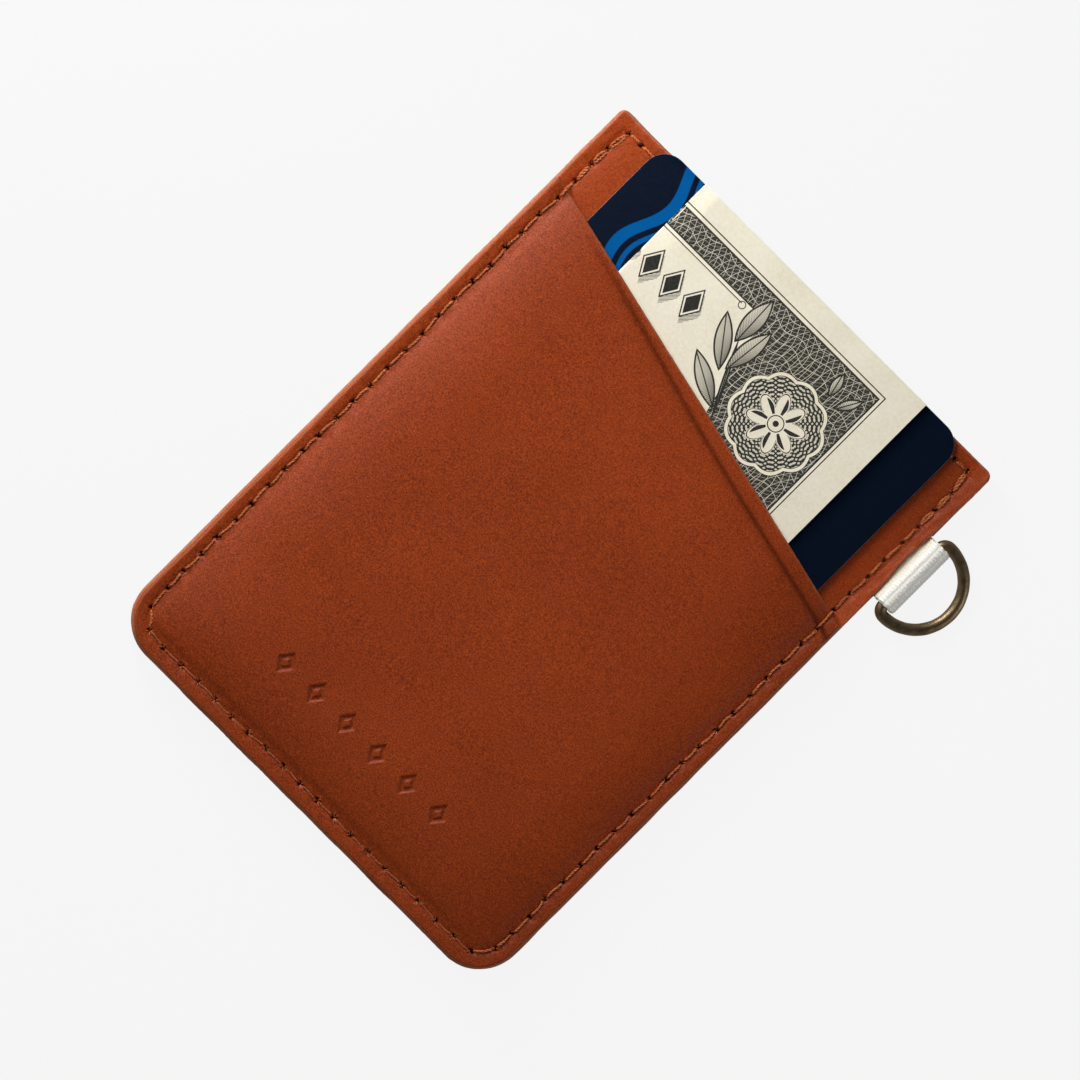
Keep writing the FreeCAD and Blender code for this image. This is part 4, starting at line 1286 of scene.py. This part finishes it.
def folded_banknote(material):
    """A banknote folded in four, lying over the card, its free corner lifting a little."""
    line = note_line()
    flat = line[:, :2]
    along = places(note_low[1], note_high[1], lambda y: np.where(y > 16, 0.35, 1.6), 1)
    side, y = np.meshgrid(np.arange(len(line)), along, indexing="ij")
    x, layer = line[side, 0], line[side, 2]
    free = smooth(-below_mouth(x, y), 1.0, 12.0)
    lift = 0.035 * ripple(x, y, 11.0, 61) * (0.25 + free) + 0.02 * free
    fold = 0.08 - 0.46 * np.clip((-16.6 - x) / 2.35, 0, 1)
    corner = 0.1 * smooth(x, 12, 21) + 0.05 * smooth(y, 40, 47) + 0.035 * ripple(x, y, 7, 62)
    lift = lift + free * (layer / 3) * (fold + corner)
    points, faces = two_sided(flat, y, (PAPER / 2, -PAPER / 2), lift)
    shown = ((layer > 1.4) & (side > len(line) / 2)).ravel().astype(float)
    note = new_piece(
        "banknote_paper", points, faces, material, body="banknote",
        nodes=["folded_banknote"], weights={"face": np.concatenate([shown, shown])},
    )
    return note


# Everything round the object


VIEW_CENTRE = (-1.84, -0.32)
VIEW_WIDTH = 137.3  # millimetres across the picture, at the height of the pocket's face
LENS, SENSOR = 250.0, 36.0
WHITE = (1, 1, 1, 1)
BACKDROP = 0.923  # the pale grey behind the object
FLOOR_HALF, FLOOR_ALBEDO = 1.5, 0.035
FLOOR_GLOW = 0.888  # to the camera
ROOM_GLOW = 0.3  # to everything else


def camera():
    data = bpy.data.cameras.new("camera")
    data.lens, data.sensor_width = LENS, SENSOR
    data.clip_start, data.clip_end = 0.01, 20
    piece = new_object("camera", data)
    height = VIEW_WIDTH * LENS / SENSOR + RIM_TOP_Z
    piece.location = [v * MM for v in (*VIEW_CENTRE, height)]
    piece.rotation_euler = (0, 0, math.radians(45))
    bpy.context.scene.camera = piece


def softbox(name, place, size, power, aim=(0, 0, 0)):
    """A rectangular light that faces aim."""
    data = bpy.data.lights.new(name, "AREA")
    data.shape, data.size, data.size_y, data.energy = "RECTANGLE", *size, power
    piece = new_object(name, data)
    piece.location = place
    piece.visible_camera = False
    x, y, z = np.subtract(aim, place)
    piece.rotation_euler = (math.atan2(math.hypot(x, y), -z), 0, math.atan2(y, x) - math.pi / 2)


def world():
    """An even pale backdrop to the camera, and a dimmer, softly graded room to everything else."""
    made = bpy.data.worlds.new("room")
    nodes = Nodes(made)
    place = nodes.node("TexCoord", [], output="Generated")
    up = nodes.node("SeparateXYZ", [place], output=2)
    room = nodes.node("Background", [WHITE, up.scaled(0.1, 0.85, 0.4, 0.08)])
    backdrop = nodes.node("Background", [(BACKDROP, BACKDROP, BACKDROP, 1)])
    seen = nodes.node("MixShader", [nodes.to_camera(), room, backdrop])
    nodes.fill(nodes.tree.nodes["World Output"].inputs["Surface"], seen)
    bpy.context.scene.world = made


def floor():
    """A pale floor that glows to the backdrop's grey and takes only a faint shadow."""
    half = FLOOR_HALF
    mesh = bpy.data.meshes.new("floor")
    corners = [(-half, -half, 0), (half, -half, 0), (half, half, 0), (-half, half, 0)]
    mesh.from_pydata(corners, [], [(0, 1, 2, 3)])
    piece = new_object("floor", mesh)
    piece.location.z = -0.02 * MM
    paint = Paint("floor")
    mesh.materials.append(paint.finish(
        Base_Color=(FLOOR_ALBEDO, FLOOR_ALBEDO, FLOOR_ALBEDO, 1), Roughness=1.0,
        Specular_IOR_Level=0.0, Emission_Color=WHITE,
        Emission_Strength=paint.to_camera().scaled(0.0, 1.0, ROOM_GLOW, FLOOR_GLOW),
    ))


def studio():
    camera()
    world()
    floor()
    softbox("key_left", (-0.2, 0.085, 0.125), (0.1, 0.2), 0.86)
    softbox("fill_above", (-0.38, -0.06, 0.75), (0.4, 0.4), 0.82, aim=(0, 0.01, 0))
    softbox("rim_right", (0.42, 0.1, 0.16), (0.2, 0.3), 0.38)
    bpy.context.scene.view_settings.view_transform = "Standard"


def repaint(node, material):
    """A new finish for a CAD node whose shape stays."""
    piece = frame["nodes"][node]
    piece.data.materials.clear()
    piece.data.materials.append(material)


def build():
    studio()
    grained = srgb(91, 26, 2), srgb(168, 69, 21), 0.47
    smoother = srgb(120, 41, 6), srgb(176, 73, 25), 0.46
    thread = thread_paint()
    front_pocket_panel(leather_paint("leather_front", *grained))
    centre_panel(leather_paint("leather_centre", *smoother))
    seam_thread("outer_seam_stitches", OUTER_HOLES, "outer_seam_needle_thread", thread, 0.07, 5)
    seam_thread("top_seam_stitches", TOP_HOLES, "top_seam_needle_thread", thread, 0.12, 6)
    webbing_strap(webbing_paint())
    d_ring(brass_paint())
    payment_card(card_paint())
    chip_contacts(chip_paint())
    folded_banknote(banknote_paint())
    repaint("back_pocket_panel", leather_paint("leather_back", *grained, plain=True))
    repaint("lining_panel", leather_paint("leather_lining", *smoother, plain=True))
    for node in ("outer_seam_bobbin_thread", "top_seam_bobbin_thread"):
        repaint(node, thread)
    repaint("card_magnetic_stripe", stripe_paint())


build()
